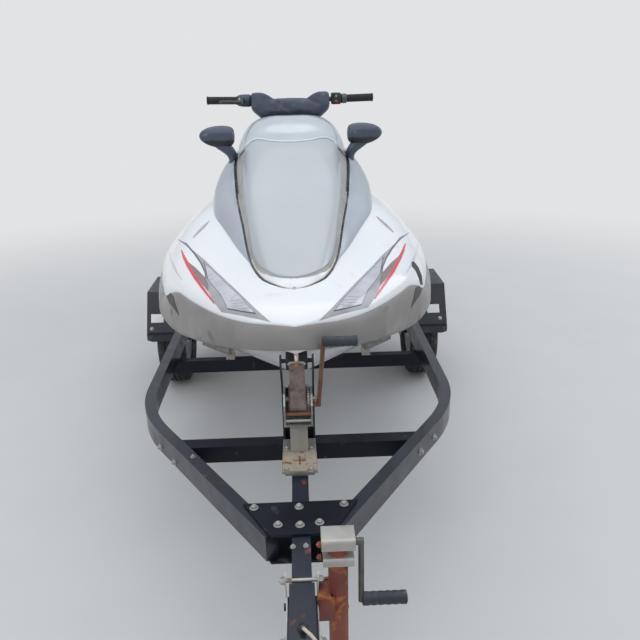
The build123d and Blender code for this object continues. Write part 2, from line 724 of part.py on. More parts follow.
def make_step_bracket():
    """The ears that hold the boarding step, part of the hull."""
    ears = []
    for x in (STEP_X0, STEP_X1):
        ear = block(x - 16, x - 8, TRANSOM_B - 6, STEP_HINGE_B + 9, up(STEP_HINGE_H - 14), up(STEP_HINGE_H + 14))
        ears.append(ear + block(x + 8, x + 16, TRANSOM_B - 6, STEP_HINGE_B + 9, up(STEP_HINGE_H - 14),
                                up(STEP_HINGE_H + 14)))
        ears.append(rod((x - 16, STEP_HINGE_B, STEP_HINGE_H), (x + 16, STEP_HINGE_B, STEP_HINGE_H), HINGE_PIN_R))
    return ears


def make_step():
    spots = [place(STEP_X0, STEP_HINGE_B, STEP_HINGE_H), place(STEP_X0, STEP_HINGE_B + 6, STEP_HINGE_H + STEP_TALL),
             place(STEP_X1, STEP_HINGE_B + 6, STEP_HINGE_H + STEP_TALL), place(STEP_X1, STEP_HINGE_B, STEP_HINGE_H)]
    path = FilletPolyline(*spots, radius=30)
    bar = sweep(Plane(origin=spots[0], z_dir=spots[1] - spots[0]) * Circle(7.6), path=path)
    tread = block(STEP_X0 + 34, STEP_X1 - 34, STEP_HINGE_B - 6, STEP_HINGE_B + 18,
                  up(STEP_HINGE_H + STEP_TALL - 10), up(STEP_HINGE_H + STEP_TALL + 10))
    step = bar + tread
    for x in (STEP_X0, STEP_X1):
        step += rod((x - 7.4, STEP_HINGE_B, STEP_HINGE_H), (x + 7.4, STEP_HINGE_B, STEP_HINGE_H), 9)
        step -= rod((x - 20, STEP_HINGE_B, STEP_HINGE_H), (x + 20, STEP_HINGE_B, STEP_HINGE_H),
                    HINGE_PIN_R + PIN_GAP)
    return step


def make_sponson(hull):
    rows = []
    for b, top, out in ((2320, 225, 528), (2400, 268, 560), (2900, 268, 556), (2960, 232, 530)):
        rows.append((b, [(440, 196, 0.0), (out - 16, 196, 0.0), (out, 210, 0.0), (out - 4, top, 0.0),
                         (450, top, 0.0)]))
    piece = ruled(rows) - hull
    return max(piece.solids(), key=lambda solid: solid.volume)


def ring_solid(rows, b_axis_h=PUMP_H):
    """A tube round the jet's axis. Columns of rows: b, outer radius, inner radius."""
    outer = [(b, r) for b, r, _ in rows]
    inner = [(b, r) for b, _, r in reversed(rows)]
    face = make_face(Polyline(*[(at(b), r) for b, r in outer + inner], close=True))
    solid = revolve(Plane.YZ * face, axis=Axis.Y, revolution_arc=360)
    return Pos(0, 0, up(b_axis_h)) * solid


def make_pump():
    duct = ring_solid([(PUMP_FRONT_B, PUMP_R, PUMP_BORE_R), (PUMP_REAR_B, PUMP_R, PUMP_BORE_R),
                       (TAIL_END_B, TAIL_R, TAIL_R - 8)])
    flange = block(-TUNNEL_X + SEAT_GAP, TUNNEL_X - SEAT_GAP, PUMP_FRONT_B, PUMP_FRONT_B + 14,
                   up(RIDE_PLATE_H + RIDE_PLATE_THICK), up(TUNNEL_TOP_H - SEAT_GAP))
    flange -= rod((0, PUMP_FRONT_B - 5, PUMP_H), (0, PUMP_FRONT_B + 30, PUMP_H), PUMP_BORE_R)
    hub = rod((0, 2925, PUMP_H), (0, 3040, PUMP_H), 32) - rod((0, 2920, PUMP_H), (0, 2985, PUMP_H), SHAFT_R + PIN_GAP)
    pump = duct + flange + hub
    for i in range(6):
        vane = Pos(0, at(2980), up(PUMP_H)) * Rot(0, 60 * i, 0) * Pos(0, 0, 58) * Box(5, 80, 56)
        pump += vane
    for sign in (-1, 1):
        ear_h = PUMP_H + sign * 93
        low, high = sorted((PUMP_H + sign * 86, PUMP_H + sign * 96))
        pump += block(-16, 16, PUMP_REAR_B - 20, NOZZLE_PIVOT_B + 14, up(low), up(high))
        low, high = sorted((sign * 88, sign * 98))
        pump += block(low, high, PUMP_REAR_B - 30, BUCKET_PIVOT_B + 14, up(BUCKET_PIVOT_H - 16), up(BUCKET_PIVOT_H + 16))
        pump += rod((sign * 90, BUCKET_PIVOT_B, BUCKET_PIVOT_H), (sign * 114, BUCKET_PIVOT_B, BUCKET_PIVOT_H), 7)
    pump -= rod((0, NOZZLE_PIVOT_B, PUMP_H - 120), (0, NOZZLE_PIVOT_B, PUMP_H + 120), 6 + PIN_GAP)
    return pump


def make_nozzle():
    shell = ring_solid([(NOZZLE_PIVOT_B - 10, 79, 72), (NOZZLE_PIVOT_B + 10, 79, 70), (3270, 58, 50)])
    for sign in (-1, 1):
        shell += rod((0, NOZZLE_PIVOT_B, PUMP_H + sign * 74), (0, NOZZLE_PIVOT_B, PUMP_H + sign * 96), 6)
    return shell


def make_bucket():
    def spot(angle, radius):
        a = math.radians(angle)
        return (BUCKET_PIVOT_B + radius * math.cos(a), BUCKET_PIVOT_H + radius * math.sin(a))

    low, high, steps = 27.0, 68.0, 6
    arc_angles = [low + (high - low) * i / steps for i in range(steps + 1)]
    shell = side_profile([spot(a, BUCKET_R) for a in arc_angles]
                         + [spot(a, BUCKET_R - BUCKET_SKIN) for a in reversed(arc_angles)],
                         -BUCKET_CHEEK_X, BUCKET_CHEEK_X)
    for sign in (-1, 1):
        x0, x1 = sorted((sign * BUCKET_CHEEK_X, sign * (BUCKET_CHEEK_X + 8)))
        cheek = side_profile([(BUCKET_PIVOT_B - 14, BUCKET_PIVOT_H - 4), (BUCKET_PIVOT_B + 4, BUCKET_PIVOT_H - 16)]
                             + [spot(a, BUCKET_R) for a in arc_angles]
                             + [(BUCKET_PIVOT_B - 12, BUCKET_PIVOT_H + 14)], x0, x1)
        shell += cheek
        shell -= rod((sign * 90, BUCKET_PIVOT_B, BUCKET_PIVOT_H), (sign * 130, BUCKET_PIVOT_B, BUCKET_PIVOT_H),
                     7 + PIN_GAP)
    return shell


def make_impeller():
    hub_front, hub_rear = 2830.0, 2915.0
    rotor = rod((0, hub_front, PUMP_H), (0, hub_rear, PUMP_H), 30)
    rotor += rod((0, ENGINE_FRONT_B + ENGINE_LONG + 1, PUMP_H), (0, 2980, PUMP_H), SHAFT_R)
    blade_tip = PUMP_BORE_R - 5
    for i in range(4):
        sections = []
        for step in range(4):
            y = hub_front + 6 + (hub_rear - hub_front - 12) * step / 3
            turn = 90 * i + 26 * step
            face = Plane(origin=(0, 0, 0), x_dir=(1, 0, 0), z_dir=(0, 1, 0)) * Pos((24 + blade_tip) / 2, 0)
            sections.append(Pos(0, at(y), up(PUMP_H)) * Rot(0, turn, 0) * face * Rectangle(blade_tip - 24, 7))
        rotor += loft(sections, ruled=True)
    return rotor


def make_grate():
    low, high = 34.0, 48.0
    rear_b = PUMP_FRONT_B - 1
    grate = block(-DUCT_X + SEAT_GAP, DUCT_X - SEAT_GAP, DUCT_FRONT_B + 30, DUCT_FRONT_B + 46, up(low), up(high))
    grate += block(-DUCT_X + SEAT_GAP, DUCT_X - SEAT_GAP, rear_b - 16, rear_b, up(low), up(high))
    for x in (-DUCT_X + 5, -66, -22, 22, 66, DUCT_X - 5):
        half = 4.7
        grate += block(x - half, x + half, DUCT_FRONT_B + 30, rear_b, up(low), up(high))
    return grate


def make_ride_plate():
    return block(-TUNNEL_X + SEAT_GAP, TUNNEL_X - SEAT_GAP, PUMP_FRONT_B + 1, TRANSOM_B + 20,
                 up(RIDE_PLATE_H - SEAT_GAP), up(RIDE_PLATE_H + RIDE_PLATE_THICK - SEAT_GAP))


def make_eyes():
    """The bow's pull eye on the stem and the two tie-down eyes on the transom."""
    eyes = []
    bow = Pos(0, at(92), up(408)) * Rot(0, 90, 0) * Torus(17, 5)
    eyes.append(bow)
    for x in (-430, 430):
        eyes.append(Pos(x, at(TRANSOM_B + 13), up(250)) * Rot(0, 90, 0) * Torus(18, 5))
    return eyes


def make_shift_lever():
    arm = rod((98, 1490, 872), (106, 1472, 946), 7)
    knob = Pos(place(107, 1470, 955)) * Sphere(15)
    return arm + knob


def rail_path():
    """The port rail's centre line seen from above: straight, bend, then the run to the coupling."""
    turn = math.radians(RAIL_BEND_DEG)
    cut = RAIL_BEND_R * math.tan(turn / 2)
    corner = (RAIL_X, RAIL_TURN_B)
    run = (RAIL_TURN_B - RAIL_FRONT_B)
    end = (RAIL_X - run * math.tan(turn), RAIL_FRONT_B)
    return (RAIL_X, RAIL_REAR_B), corner, end, cut


def make_rail():
    rear, corner, end, cut = rail_path()
    z = FRAME_TOP - RAIL_TALL / 2
    spots = [Vector(x, at(b), z) for x, b in (rear, corner, end)]
    path = FilletPolyline(*spots, radius=RAIL_BEND_R)
    face = Plane(origin=spots[0], x_dir=(1, 0, 0), z_dir=(0, -1, 0)) * Rectangle(RAIL_WIDE, RAIL_TALL)
    return sweep(face, path=path)


def rail_x(b):
    """Half width of the V of the rails ahead of the bend."""
    return RAIL_X - (RAIL_TURN_B - b) * math.tan(math.radians(RAIL_BEND_DEG))


def make_crossmembers():
    """The nose tube between the rails, and two tubes under them."""
    bars = [nose_tube()]
    z1 = FRAME_TOP - RAIL_TALL
    for b in CROSS_B:
        half = RAIL_X + RAIL_WIDE / 2
        bars.append(block(-half, half, b - CROSS_DEEP / 2, b + CROSS_DEEP / 2, z1 - CROSS_TALL, z1))
    return bars


def nose_tube():
    """It meets the slanting inner faces of the V of the rails."""
    b0, b1 = NOSE_CROSS_B - NOSE_CROSS_DEEP / 2, NOSE_CROSS_B + NOSE_CROSS_DEEP / 2
    inset = RAIL_WIDE / 2 / math.cos(math.radians(RAIL_BEND_DEG)) + SEAT_GAP
    x0, x1 = rail_x(b0) - inset, rail_x(b1) - inset
    return plan_profile([(-x0, b0), (x0, b0), (x1, b1), (-x1, b1)], FRAME_TOP - CROSS_TALL, FRAME_TOP)


def make_drawbar():
    half = DRAWBAR_WIDE / 2
    return block(-half, half, DRAWBAR_TIP_B, NOSE_CROSS_B - NOSE_CROSS_DEEP / 2, FRAME_TOP - RAIL_TALL, FRAME_TOP)


GUSSET_THICK = 8.0


def make_gusset():
    plate = plan_profile([(-84, -293), (84, -293), (165, -149), (-165, -149)], FRAME_TOP, FRAME_TOP + GUSSET_THICK)
    lower = plan_profile([(-84, -293), (84, -293), (165, -149), (-165, -149)],
                         FRAME_TOP - RAIL_TALL - GUSSET_THICK, FRAME_TOP - RAIL_TALL)
    return plate, lower


def make_coupler():
    """A pressed neck over the drawbar with its locking handle, and the head that takes the ball."""
    wall = COUPLER_WALL
    half = DRAWBAR_WIDE / 2 + wall
    tip, top = COUPLER_TIP_B, FRAME_TOP
    channel = block(-DRAWBAR_WIDE / 2, DRAWBAR_WIDE / 2, DRAWBAR_TIP_B, NECK_REAR_B + 30, top - 100, top)
    neck = block(-half, half, NECK_FRONT_B, NECK_REAR_B, top - 66, top + wall)
    ball_b, ball_z = tip + 44, top - 54
    head = Pos(0, at(ball_b), ball_z) * Cylinder(44, 92)
    head = fillet(head.edges().group_by(Axis.Z)[-1], 26)
    coupler = head + neck
    for side in (-1, 1):
        x0, x1 = sorted((side * half, side * (half + 5)))
        coupler += side_profile([(NECK_FRONT_B + 20, top - KEEL_Z - 60), (NECK_REAR_B - 12, top - KEEL_Z - 60),
                                 (NECK_REAR_B - 12, top - KEEL_Z - 24), (NECK_FRONT_B + 20, top - KEEL_Z - 12)], x0, x1)
    ball = Pos(0, at(ball_b), ball_z - 14) * Sphere(25.5)
    coupler -= ball + Pos(0, at(ball_b), ball_z - 46) * Cylinder(25.5, 64)
    grip_h = top - KEEL_Z
    coupler += side_profile([(tip + 60, grip_h + 4), (tip + 100, grip_h + 4), (tip + 260, grip_h + 46),
                             (tip + 270, grip_h + 58), (tip + 100, grip_h + 34), (tip + 60, grip_h + 26)], -16, 16)
    for b in (NECK_REAR_B - 28, NECK_REAR_B - 145):
        coupler += rod((-half - 14, b, top - 40 - KEEL_Z), (-half + 2, b, top - 40 - KEEL_Z), 9)
        if abs(b - JACK_B) > 50:
            coupler += rod((half - 2, b, top - 40 - KEEL_Z), (half + 14, b, top - 40 - KEEL_Z), 9)
    lead_exit, next_spot = cable_spots()[:2]
    gland = Plane(origin=lead_exit, z_dir=lead_exit - next_spot) * Circle(CABLE_R + 4)
    return coupler + extrude(gland, 25) - channel


def make_axle():
    """A tube across the frame with hangers, and a trailing arm with a stub at each wheel."""
    top = FRAME_TOP - RAIL_TALL
    beam = block(-RAIL_X - 14, RAIL_X + 14, AXLE_B - 25, AXLE_B + 25, 320, 370)
    stub_h = TYRE_R - KEEL_Z
    for side in (-1, 1):
        x0, x1 = sorted((side * (RAIL_X - 18), side * (RAIL_X + 14)))
        beam += block(x0, x1, AXLE_B - 45, AXLE_B + 45, 366, top)
        x0, x1 = sorted((side * (RAIL_X + 12), side * (RAIL_X + 24)))
        beam += side_profile([(AXLE_B - 28, 372 - KEEL_Z), (AXLE_B + 20, 372 - KEEL_Z), (WHEEL_B + 28, stub_h + 26),
                              (WHEEL_B + 28, stub_h - 24), (WHEEL_B - 20, stub_h - 30), (AXLE_B - 28, 316 - KEEL_Z)],
                             x0, x1)
        beam += rod((side * (RAIL_X + 14), WHEEL_B, stub_h), (side * (WHEEL_X + 38), WHEEL_B, stub_h), STUB_R)
    return beam


def make_tyre(side):
    half = TYRE_WIDE / 2
    rim_half = 54.0
    face = make_face(Polyline(
        (-rim_half, RIM_R), (-half, RIM_R + 30), (-half, TYRE_R - 34), (-half + 20, TYRE_R - 5), (-half + 34, TYRE_R),
        (half - 34, TYRE_R), (half - 20, TYRE_R - 5), (half, TYRE_R - 34), (half, RIM_R + 30), (rim_half, RIM_R),
        close=True))
    ring = revolve(Plane.XZ * face, axis=Axis.X, revolution_arc=360)
    return Pos(side * WHEEL_X, at(WHEEL_B), TYRE_R) * ring


def make_rim(side):
    """A pressed steel wheel: the well base, and a dished disc with round holes."""
    r, bore = RIM_R, STUB_R + 0.05
    face = make_face(Polyline(
        (-54, r), (-54, r - 10), (-16, r - 26), (8, r - 28), (12, 92), (34, 68), (34, bore),
        (-58, bore), (-58, 36), (20, 40), (2, 88), (0, r - 36), (-16, r - 36), (-46, r - 15),
        (46, r - 15), (54, r - 8), (54, r), close=True))
    ring = revolve(Plane.XZ * face, axis=Axis.X, revolution_arc=360)
    for i in range(RIM_HOLES):
        hole = Rot(360 / RIM_HOLES * i, 0, 0) * Pos(5, 0, (92 + r - 36) / 2 + 2) * Rot(0, 90, 0)
        ring -= hole * Cylinder(9, 60)
    if side < 0:
        ring = mirror(ring, about=Plane.YZ)
    return Pos(side * WHEEL_X, at(WHEEL_B), TYRE_R) * ring


FENDER_LOW_Z = 352.0
FENDER_TOP_Z = 576.0
FENDER_HALF = 254.0
FENDER_TOP_HALF = 146.0
FENDER_SKIRT = 34.0


def fender_line(grow, low_z):
    """The fender's outline over the wheel, as (b, h), moved out by grow."""
    top = FENDER_TOP_Z + grow
    half, flat = FENDER_HALF + grow, FENDER_TOP_HALF + grow * 0.6
    shoulder = FENDER_LOW_Z + 34
    line = [(-half - 4, low_z), (-half, shoulder), (-flat, top), (flat, top), (half, shoulder), (half + 4, low_z)]
    return [(WHEEL_B + b, z - KEEL_Z) for b, z in line]


def make_fender():
    """A flat-topped pressed fender with sloping ends, side skirts and a folded lip fore and aft."""
    inner, outer = fender_line(0.0, FENDER_LOW_Z), fender_line(FENDER_SKIN, FENDER_LOW_Z)
    fender = side_profile(outer + inner[::-1], FENDER_IN_X, FENDER_OUT_X)
    skirt = side_profile(outer + fender_line(-FENDER_SKIRT, FENDER_LOW_Z)[::-1],
                         FENDER_OUT_X - FENDER_SKIN, FENDER_OUT_X)
    fender += skirt + Pos(FENDER_IN_X + FENDER_SKIN - FENDER_OUT_X, 0, 0) * skirt
    for sign in (-1, 1):
        start = WHEEL_B + sign * (FENDER_HALF + 1)
        lip = plan_profile([(FENDER_IN_X, start), (FENDER_OUT_X, start), (FENDER_OUT_X, start + sign * 12),
                            (FENDER_OUT_X - 30, start + sign * 34), (FENDER_IN_X, start + sign * 34)],
                           FENDER_LOW_Z - 8, FENDER_LOW_Z + 26)
        fender += lip
        bracket_b = WHEEL_B + sign * (FENDER_HALF + 14)
        fender += block(RAIL_X + RAIL_WIDE / 2, FENDER_IN_X + 3, bracket_b - 16, bracket_b + 16,
                        FENDER_LOW_Z - 8, FRAME_TOP - 20)
    return fender


BUNK_B = (640, 800, 980, 1200, 1420, 1640, 1900, 2400, 2900)


def bunk_edge(b, x, drop):
    return hull_bottom(b, x) - SEAT_GAP - drop


def make_bunk():
    x0, x1 = BUNK_X - BUNK_WIDE / 2, BUNK_X + BUNK_WIDE / 2
    rows = []
    for b in BUNK_B:
        rows.append((b, [(x0, bunk_edge(b, x0, BUNK_THICK), 0.0), (x1, bunk_edge(b, x1, BUNK_THICK), 0.0),
                         (x1, bunk_edge(b, x1, 0.0), 0.0), (x0, bunk_edge(b, x0, 0.0), 0.0)]))
    return ruled(rows)


def make_bunk_posts():
    posts = []
    foot = FRAME_TOP - RAIL_TALL - KEEL_Z
    for b in CROSS_B:
        x0, x1 = BUNK_X - 20, BUNK_X + 20
        rows = [(c, [(x0, foot, 0.0), (x1, foot, 0.0), (x1, bunk_edge(c, x1, BUNK_THICK), 0.0),
                     (x0, bunk_edge(c, x0, BUNK_THICK), 0.0)]) for c in (b - 18, b + 18)]
        posts.append(ruled(rows))
    return posts


def make_winch_post():
    """The plated post that the winch stands on, bolted down over the drawbar."""
    foot = block(-46, 46, -6, 172, FRAME_TOP, FRAME_TOP + 14)
    plate = block(-54, 54, -16, 178, FRAME_TOP + 14, FRAME_TOP + 22)
    post = block(-28, 28, 92, 150, FRAME_TOP + 22, WINCH_BASE_Z)
    return foot + plate + post


def make_bow_post():
    """An open channel on the nose tube, its cheeks drawn forward to hold the bow stop's axle."""
    half, wall = 48.0, 6.0
    rear_b = NOSE_CROSS_B + NOSE_CROSS_DEEP / 2
    foot, stop_h = FRAME_TOP - KEEL_Z, stop_height()
    cheek = [(rear_b, foot), (rear_b, 236), (STOP_B + 26, stop_h + 4), (STOP_B + 14, stop_h + 16),
             (STOP_B - 14, stop_h + 16), (STOP_B - 24, stop_h - 12), (rear_b - 36, 262), (rear_b - 36, foot)]
    post = block(-half, half, rear_b - wall, rear_b, FRAME_TOP, KEEL_Z + 236)
    for side in (-1, 1):
        x0, x1 = sorted((side * half, side * (half + wall)))
        post += side_profile(cheek, x0, x1)
    return post + cross_rod(half, STOP_B, stop_h, AXLE_PIN_R)


def stop_height():
    """Height of the bow stop's axle, so that its roller touches the stem from below."""
    fore, aft = station_at(STOP_B - 30), station_at(STOP_B + 30)
    slope = (aft["keel"] - fore["keel"]) / (aft["b"] - fore["b"])
    return station_at(STOP_B)["keel"] - (STOP_R + SEAT_GAP) * math.sqrt(1 + slope * slope)


def make_winch_frame():
    """A bent base with two cheeks, the drum's shaft, and the large gear that the crank's pinion drives."""
    low, axis_h = WINCH_BASE_Z - KEEL_Z, WINCH_Z - KEEL_Z
    frame = block(-46, 46, 84, 196, WINCH_BASE_Z, WINCH_BASE_Z + 6)
    for side in (-1, 1):
        x0, x1 = sorted((side * 40, side * 46))
        frame += side_profile([(84, low), (196, low), (196, low + 70), (168, low + 102), (112, low + 102),
                               (84, low + 74)], x0, x1)
    frame += rod((-46, WINCH_B, axis_h), (64, WINCH_B, axis_h), 8)
    frame += winch_gear(30.0, 37.0)
    frame += cross_rod(46, 96, low + 16, 6)
    return frame


GEAR_TEETH = 32


def winch_gear(x0, x1):
    """A spur gear: trapezoid teeth round a plain disc."""
    root = WINCH_GEAR_R - 5
    pitch = 2 * math.pi / GEAR_TEETH
    points = []
    for i in range(GEAR_TEETH):
        for share, radius in ((-0.27, root), (-0.13, WINCH_GEAR_R), (0.13, WINCH_GEAR_R), (0.27, root)):
            angle = (i + share) * pitch
            points.append((WINCH_B + radius * math.cos(angle), WINCH_Z - KEEL_Z + radius * math.sin(angle)))
    return side_profile(points, x0, x1)


def make_winch_crank():
    hub_h, grip_h = CRANK_HUB_Z - KEEL_Z, CRANK_GRIP_Z - KEEL_Z
    hub = rod((46.3, CRANK_HUB_B, hub_h), (72, CRANK_HUB_B, hub_h), 8)
    arm = rod((66, CRANK_HUB_B, hub_h), (80, CRANK_GRIP_B, grip_h + 4), 7)
    return hub + arm, rod((78, CRANK_GRIP_B, grip_h), (176, CRANK_GRIP_B, grip_h), 14)


def make_strap():
    """The strap wound on the drum, and its run up to the eye on the bow."""
    axis_h = WINCH_Z - KEEL_Z
    roll = cross_rod(26, WINCH_B, axis_h, 44) - cross_rod(30, WINCH_B, axis_h, 8 + SEAT_GAP)
    run = side_profile([(96, axis_h), (99, axis_h), (93, 384), (90, 384)], -24, 24)
    return roll + run


def make_bow_stop():
    """A rubber roller waisted at the middle, where the stem rests."""
    face = make_face(Polyline((-STOP_HALF, AXLE_PIN_R + SEAT_GAP), (-STOP_HALF, STOP_R + 4), (-STOP_HALF + 12, STOP_R + 4),
                              (-8, STOP_R), (8, STOP_R), (STOP_HALF - 12, STOP_R + 4), (STOP_HALF, STOP_R + 4),
                              (STOP_HALF, AXLE_PIN_R + SEAT_GAP), close=True))
    roller = revolve(Plane.XZ * face, axis=Axis.X, revolution_arc=360)
    return place_shape(0, STOP_B, stop_height(), roller)


def place_shape(x, b, h, shape):
    """A shape made at the origin, moved to a place on the craft."""
    return Pos(x, at(b), up(h)) * shape


def make_jack():
    """The screw jack: a clamped tube with two plated caps, the leg in it, and a wheel in its fork."""
    spot = Pos(JACK_X, at(JACK_B), 0)
    clamp = block(DRAWBAR_WIDE / 2 + COUPLER_WALL + 5 + SEAT_GAP, JACK_X, JACK_B - 40, JACK_B + 40,
                  FRAME_TOP - 64, FRAME_TOP - 8)
    housing = spot * Pos(0, 0, (JACK_LOW_Z + JACK_TOP_Z) / 2) * Cylinder(JACK_TUBE_R, JACK_TOP_Z - JACK_LOW_Z)
    bore_top = JACK_TOP_Z - 10
    bore = spot * Pos(0, 0, (JACK_LOW_Z + bore_top) / 2 - 5) * Cylinder(JACK_TUBE_R - 4, bore_top - JACK_LOW_Z + 10)
    tube = housing + clamp
    for low, high, wide in ((JACK_TOP_Z - 64, JACK_TOP_Z, 78), (JACK_TOP_Z - 116, JACK_TOP_Z - 84, 72)):
        cap = spot * Pos(0, 0, (low + high) / 2) * Box(wide, 62, high - low)
        tube += fillet(cap.edges().filter_by(Axis.Z), 8)
    tube -= bore
    leg_low = FORK_Z + SEAT_GAP
    leg = spot * Pos(0, 0, leg_low + LEG_LONG / 2) * Cylinder(JACK_TUBE_R - 4.4, LEG_LONG)
    fork = block(JACK_X - 38, JACK_X + 38, JACK_B - 24, JACK_B + 34, FORK_Z - 6, FORK_Z)
    axle_b, axle_h = JACK_B + JACK_TRAIL, JACK_WHEEL_R - KEEL_Z
    for side in (-1, 1):
        x0, x1 = sorted((JACK_X + side * 32, JACK_X + side * 38))
        fork += side_profile([(JACK_B - 24, FORK_Z - KEEL_Z), (JACK_B + 34, FORK_Z - KEEL_Z), (axle_b + 14, axle_h - 10),
                              (axle_b - 14, axle_h - 12)], x0, x1)
    fork += rod((JACK_X - 38, axle_b, axle_h), (JACK_X + 38, axle_b, axle_h), AXLE_PIN_R)
    wheel = rod((JACK_X - 26, axle_b, axle_h), (JACK_X + 26, axle_b, axle_h), JACK_WHEEL_R)
    wheel = fillet(wheel.edges(), 9)
    wheel -= rod((JACK_X - 30, axle_b, axle_h), (JACK_X + 30, axle_b, axle_h), AXLE_PIN_R + 0.05)
    return tube, leg, fork, wheel


def make_jack_crank():
    """The side crank that winds the jack, its grip hanging down."""
    hub_x, arm_x = JACK_X + 39 + SEAT_GAP, JACK_X + 55
    shaft_h = JACK_TOP_Z - 50 - KEEL_Z
    grip_h = shaft_h - 166
    hub = rod((hub_x, JACK_B, shaft_h), (arm_x + 6, JACK_B, shaft_h), 9)
    arm = rod((arm_x, JACK_B, shaft_h), (arm_x, JACK_B - 6, grip_h - 6), 7)
    grip = rod((arm_x + 4, JACK_B - 6, grip_h), (arm_x + 110, JACK_B - 6, grip_h), 15)
    return hub + arm + grip


def make_light_bar():
    bar = block(-RAIL_X - 40, RAIL_X + 40, LIGHT_BAR_B - 22, LIGHT_BAR_B + 18, FRAME_TOP - RAIL_TALL - 40,
                FRAME_TOP - RAIL_TALL)
    plate = block(-260, 260, LIGHT_BAR_B + 18, LIGHT_BAR_B + 22, 300, 415)
    return bar + plate


def make_tail_lamps():
    return block(RAIL_X - 170, RAIL_X + 30, LIGHT_BAR_B + 18, LIGHT_BAR_B + 62, 345, 425)


# The cable's route from the coupler's neck to its plug in the holder. Columns: x, distance aft of the tip, z
CABLE_ROUTE = [(0, 345, 512), (6, 320, 532), (26, 288, 538), (52, 260, 508), (66, 242, 462), (70, 222, 412),
               (72, 194, 372), (72, 158, 366), (70, 128, 396), (68, 118, 436), (68, 118, 470)]
CABLE_R = 4.0
PLUG_R = 17.0


def cable_spots():
    return [Vector(x, at(COUPLER_TIP_B + aft), z) for x, aft, z in CABLE_ROUTE]


def make_cable():
    """The lead as one tube, its bends as wide as the runs between them allow."""
    spots = cable_spots()
    radii = []
    for i in range(1, len(spots) - 1):
        before, after = spots[i] - spots[i - 1], spots[i + 1] - spots[i]
        turn = math.radians(before.get_angle(after))
        radii.append(0.45 * min(before.length, after.length) / math.tan(turn / 2))
    path = FilletPolyline(*spots, radius=radii)
    return sweep(Plane(origin=spots[0], z_dir=spots[1] - spots[0]) * Circle(CABLE_R), path=path)


def make_plug():
    x, aft, z = CABLE_ROUTE[-1]
    return Pos(x, at(COUPLER_TIP_B + aft), z + 30) * Cylinder(PLUG_R, 60)


def make_plug_holder():
    """A cup round the plug on a bracket from the coupler's side."""
    x, aft, z = CABLE_ROUTE[-1]
    b = COUPLER_TIP_B + aft
    wall = DRAWBAR_WIDE / 2 + COUPLER_WALL + 5
    cup = Pos(x, at(b), z + 40) * (Cylinder(PLUG_R + 5, 30) - Cylinder(PLUG_R + SEAT_GAP, 40))
    return cup + block(wall, x - PLUG_R - 2, b - 8, b + 8, z + 28, z + 52)


def export_all():
    parts = {}
    hull = make_hull()
    for piece in make_step_bracket():
        hull += piece
    deck, deck_body = make_deck()
    parts["deck"] = deck
    parts["hull"] = hull
    cover = make_side_cover(deck_body)
    parts["side_covers"] = pair(cover)
    parts["hood_lid"] = make_hood()
    parts["windscreen"] = make_visor()
    parts["bow_bumper"] = make_bow_bumper()
    parts["side_rub_rails"] = pair(make_side_rail())
    parts["console"] = make_console(deck)
    parts["glovebox_lid"] = make_glovebox_lid()
    parts["instrument_cluster"] = make_cluster()
    parts["handlebar"] = make_handlebar()
    parts["grips"] = make_grips()
    parts["throttle"] = make_throttle()
    parts["switch_box"] = make_switch_box()
    parts["steering_pad"] = make_steering_pad() - parts["handlebar"]
    parts["mirrors"] = pair(make_mirror() - cover)
    parts["front_seat"] = make_seat(FRONT_SEAT)
    parts["rear_seat"] = make_seat(REAR_SEAT)
    parts["grab_handle"] = make_grab_handle()
    side_mat, rear_mat = make_mats()
    parts["deck_mats"] = Compound(children=list(pair(side_mat).solids()) + list((rear_mat - deck).solids()))
    parts["boarding_step"] = make_step()
    parts["sponsons"] = pair(make_sponson(hull))
    parts["jet_pump"] = make_pump()
    parts["steering_nozzle"] = make_nozzle()
    parts["reverse_bucket"] = make_bucket()
    parts["impeller"] = make_impeller()
    parts["intake_grate"] = make_grate()
    parts["ride_plate"] = make_ride_plate()
    parts["engine_block"] = make_engine()
    parts["tow_eyes"] = Compound(children=[s for eye in make_eyes() for s in (eye - hull).solids()])
    parts["shift_lever"] = make_shift_lever() - parts["console"]
    parts["frame_rails"] = pair(make_rail())
    parts["crossmembers"] = Compound(children=make_crossmembers())
    parts["drawbar"] = make_drawbar()
    parts["gusset_plates"] = Compound(children=list(make_gusset()))
    parts["coupler"] = make_coupler()
    parts["axle_beam"] = make_axle()
    for side, name in ((1, "left"), (-1, "right")):
        parts[f"tyre_{name}"] = make_tyre(side)
        parts[f"rim_{name}"] = make_rim(side)
    parts["fenders"] = pair(make_fender())
    parts["bunks"] = pair(make_bunk())
    parts["bunk_posts"] = pair(Compound(children=make_bunk_posts()))
    parts["winch_post"] = make_winch_post()
    parts["bow_post"] = make_bow_post()
    parts["winch_frame"] = make_winch_frame()
    arm, handle = make_winch_crank()
    parts["winch_crank"] = arm + handle
    parts["winch_strap"] = make_strap()
    parts["bow_stop"] = make_bow_stop()
    tube, leg, fork, wheel = make_jack()
    parts["jack_tube"] = tube
    parts["jack_leg"] = leg
    parts["jack_fork"] = fork
    parts["jack_wheel"] = wheel
    parts["jack_crank"] = make_jack_crank()
    parts["light_bar"] = make_light_bar()
    parts["tail_lamps"] = pair(make_tail_lamps())
    parts["cable"] = make_cable()
    parts["plug"] = make_plug()
    parts["plug_holder"] = make_plug_holder()
    return parts


for name, shape in export_all().items():
    export_step(shape, f"parts/{name}.step")
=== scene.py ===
"""The finish of a personal watercraft on its single-axle trailer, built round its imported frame. Metres."""
import math

import bmesh
import bpy
import numpy as np
from mathutils import Matrix, Vector
from mathutils.bvhtree import BVHTree
from mathutils.geometry import delaunay_2d_cdt


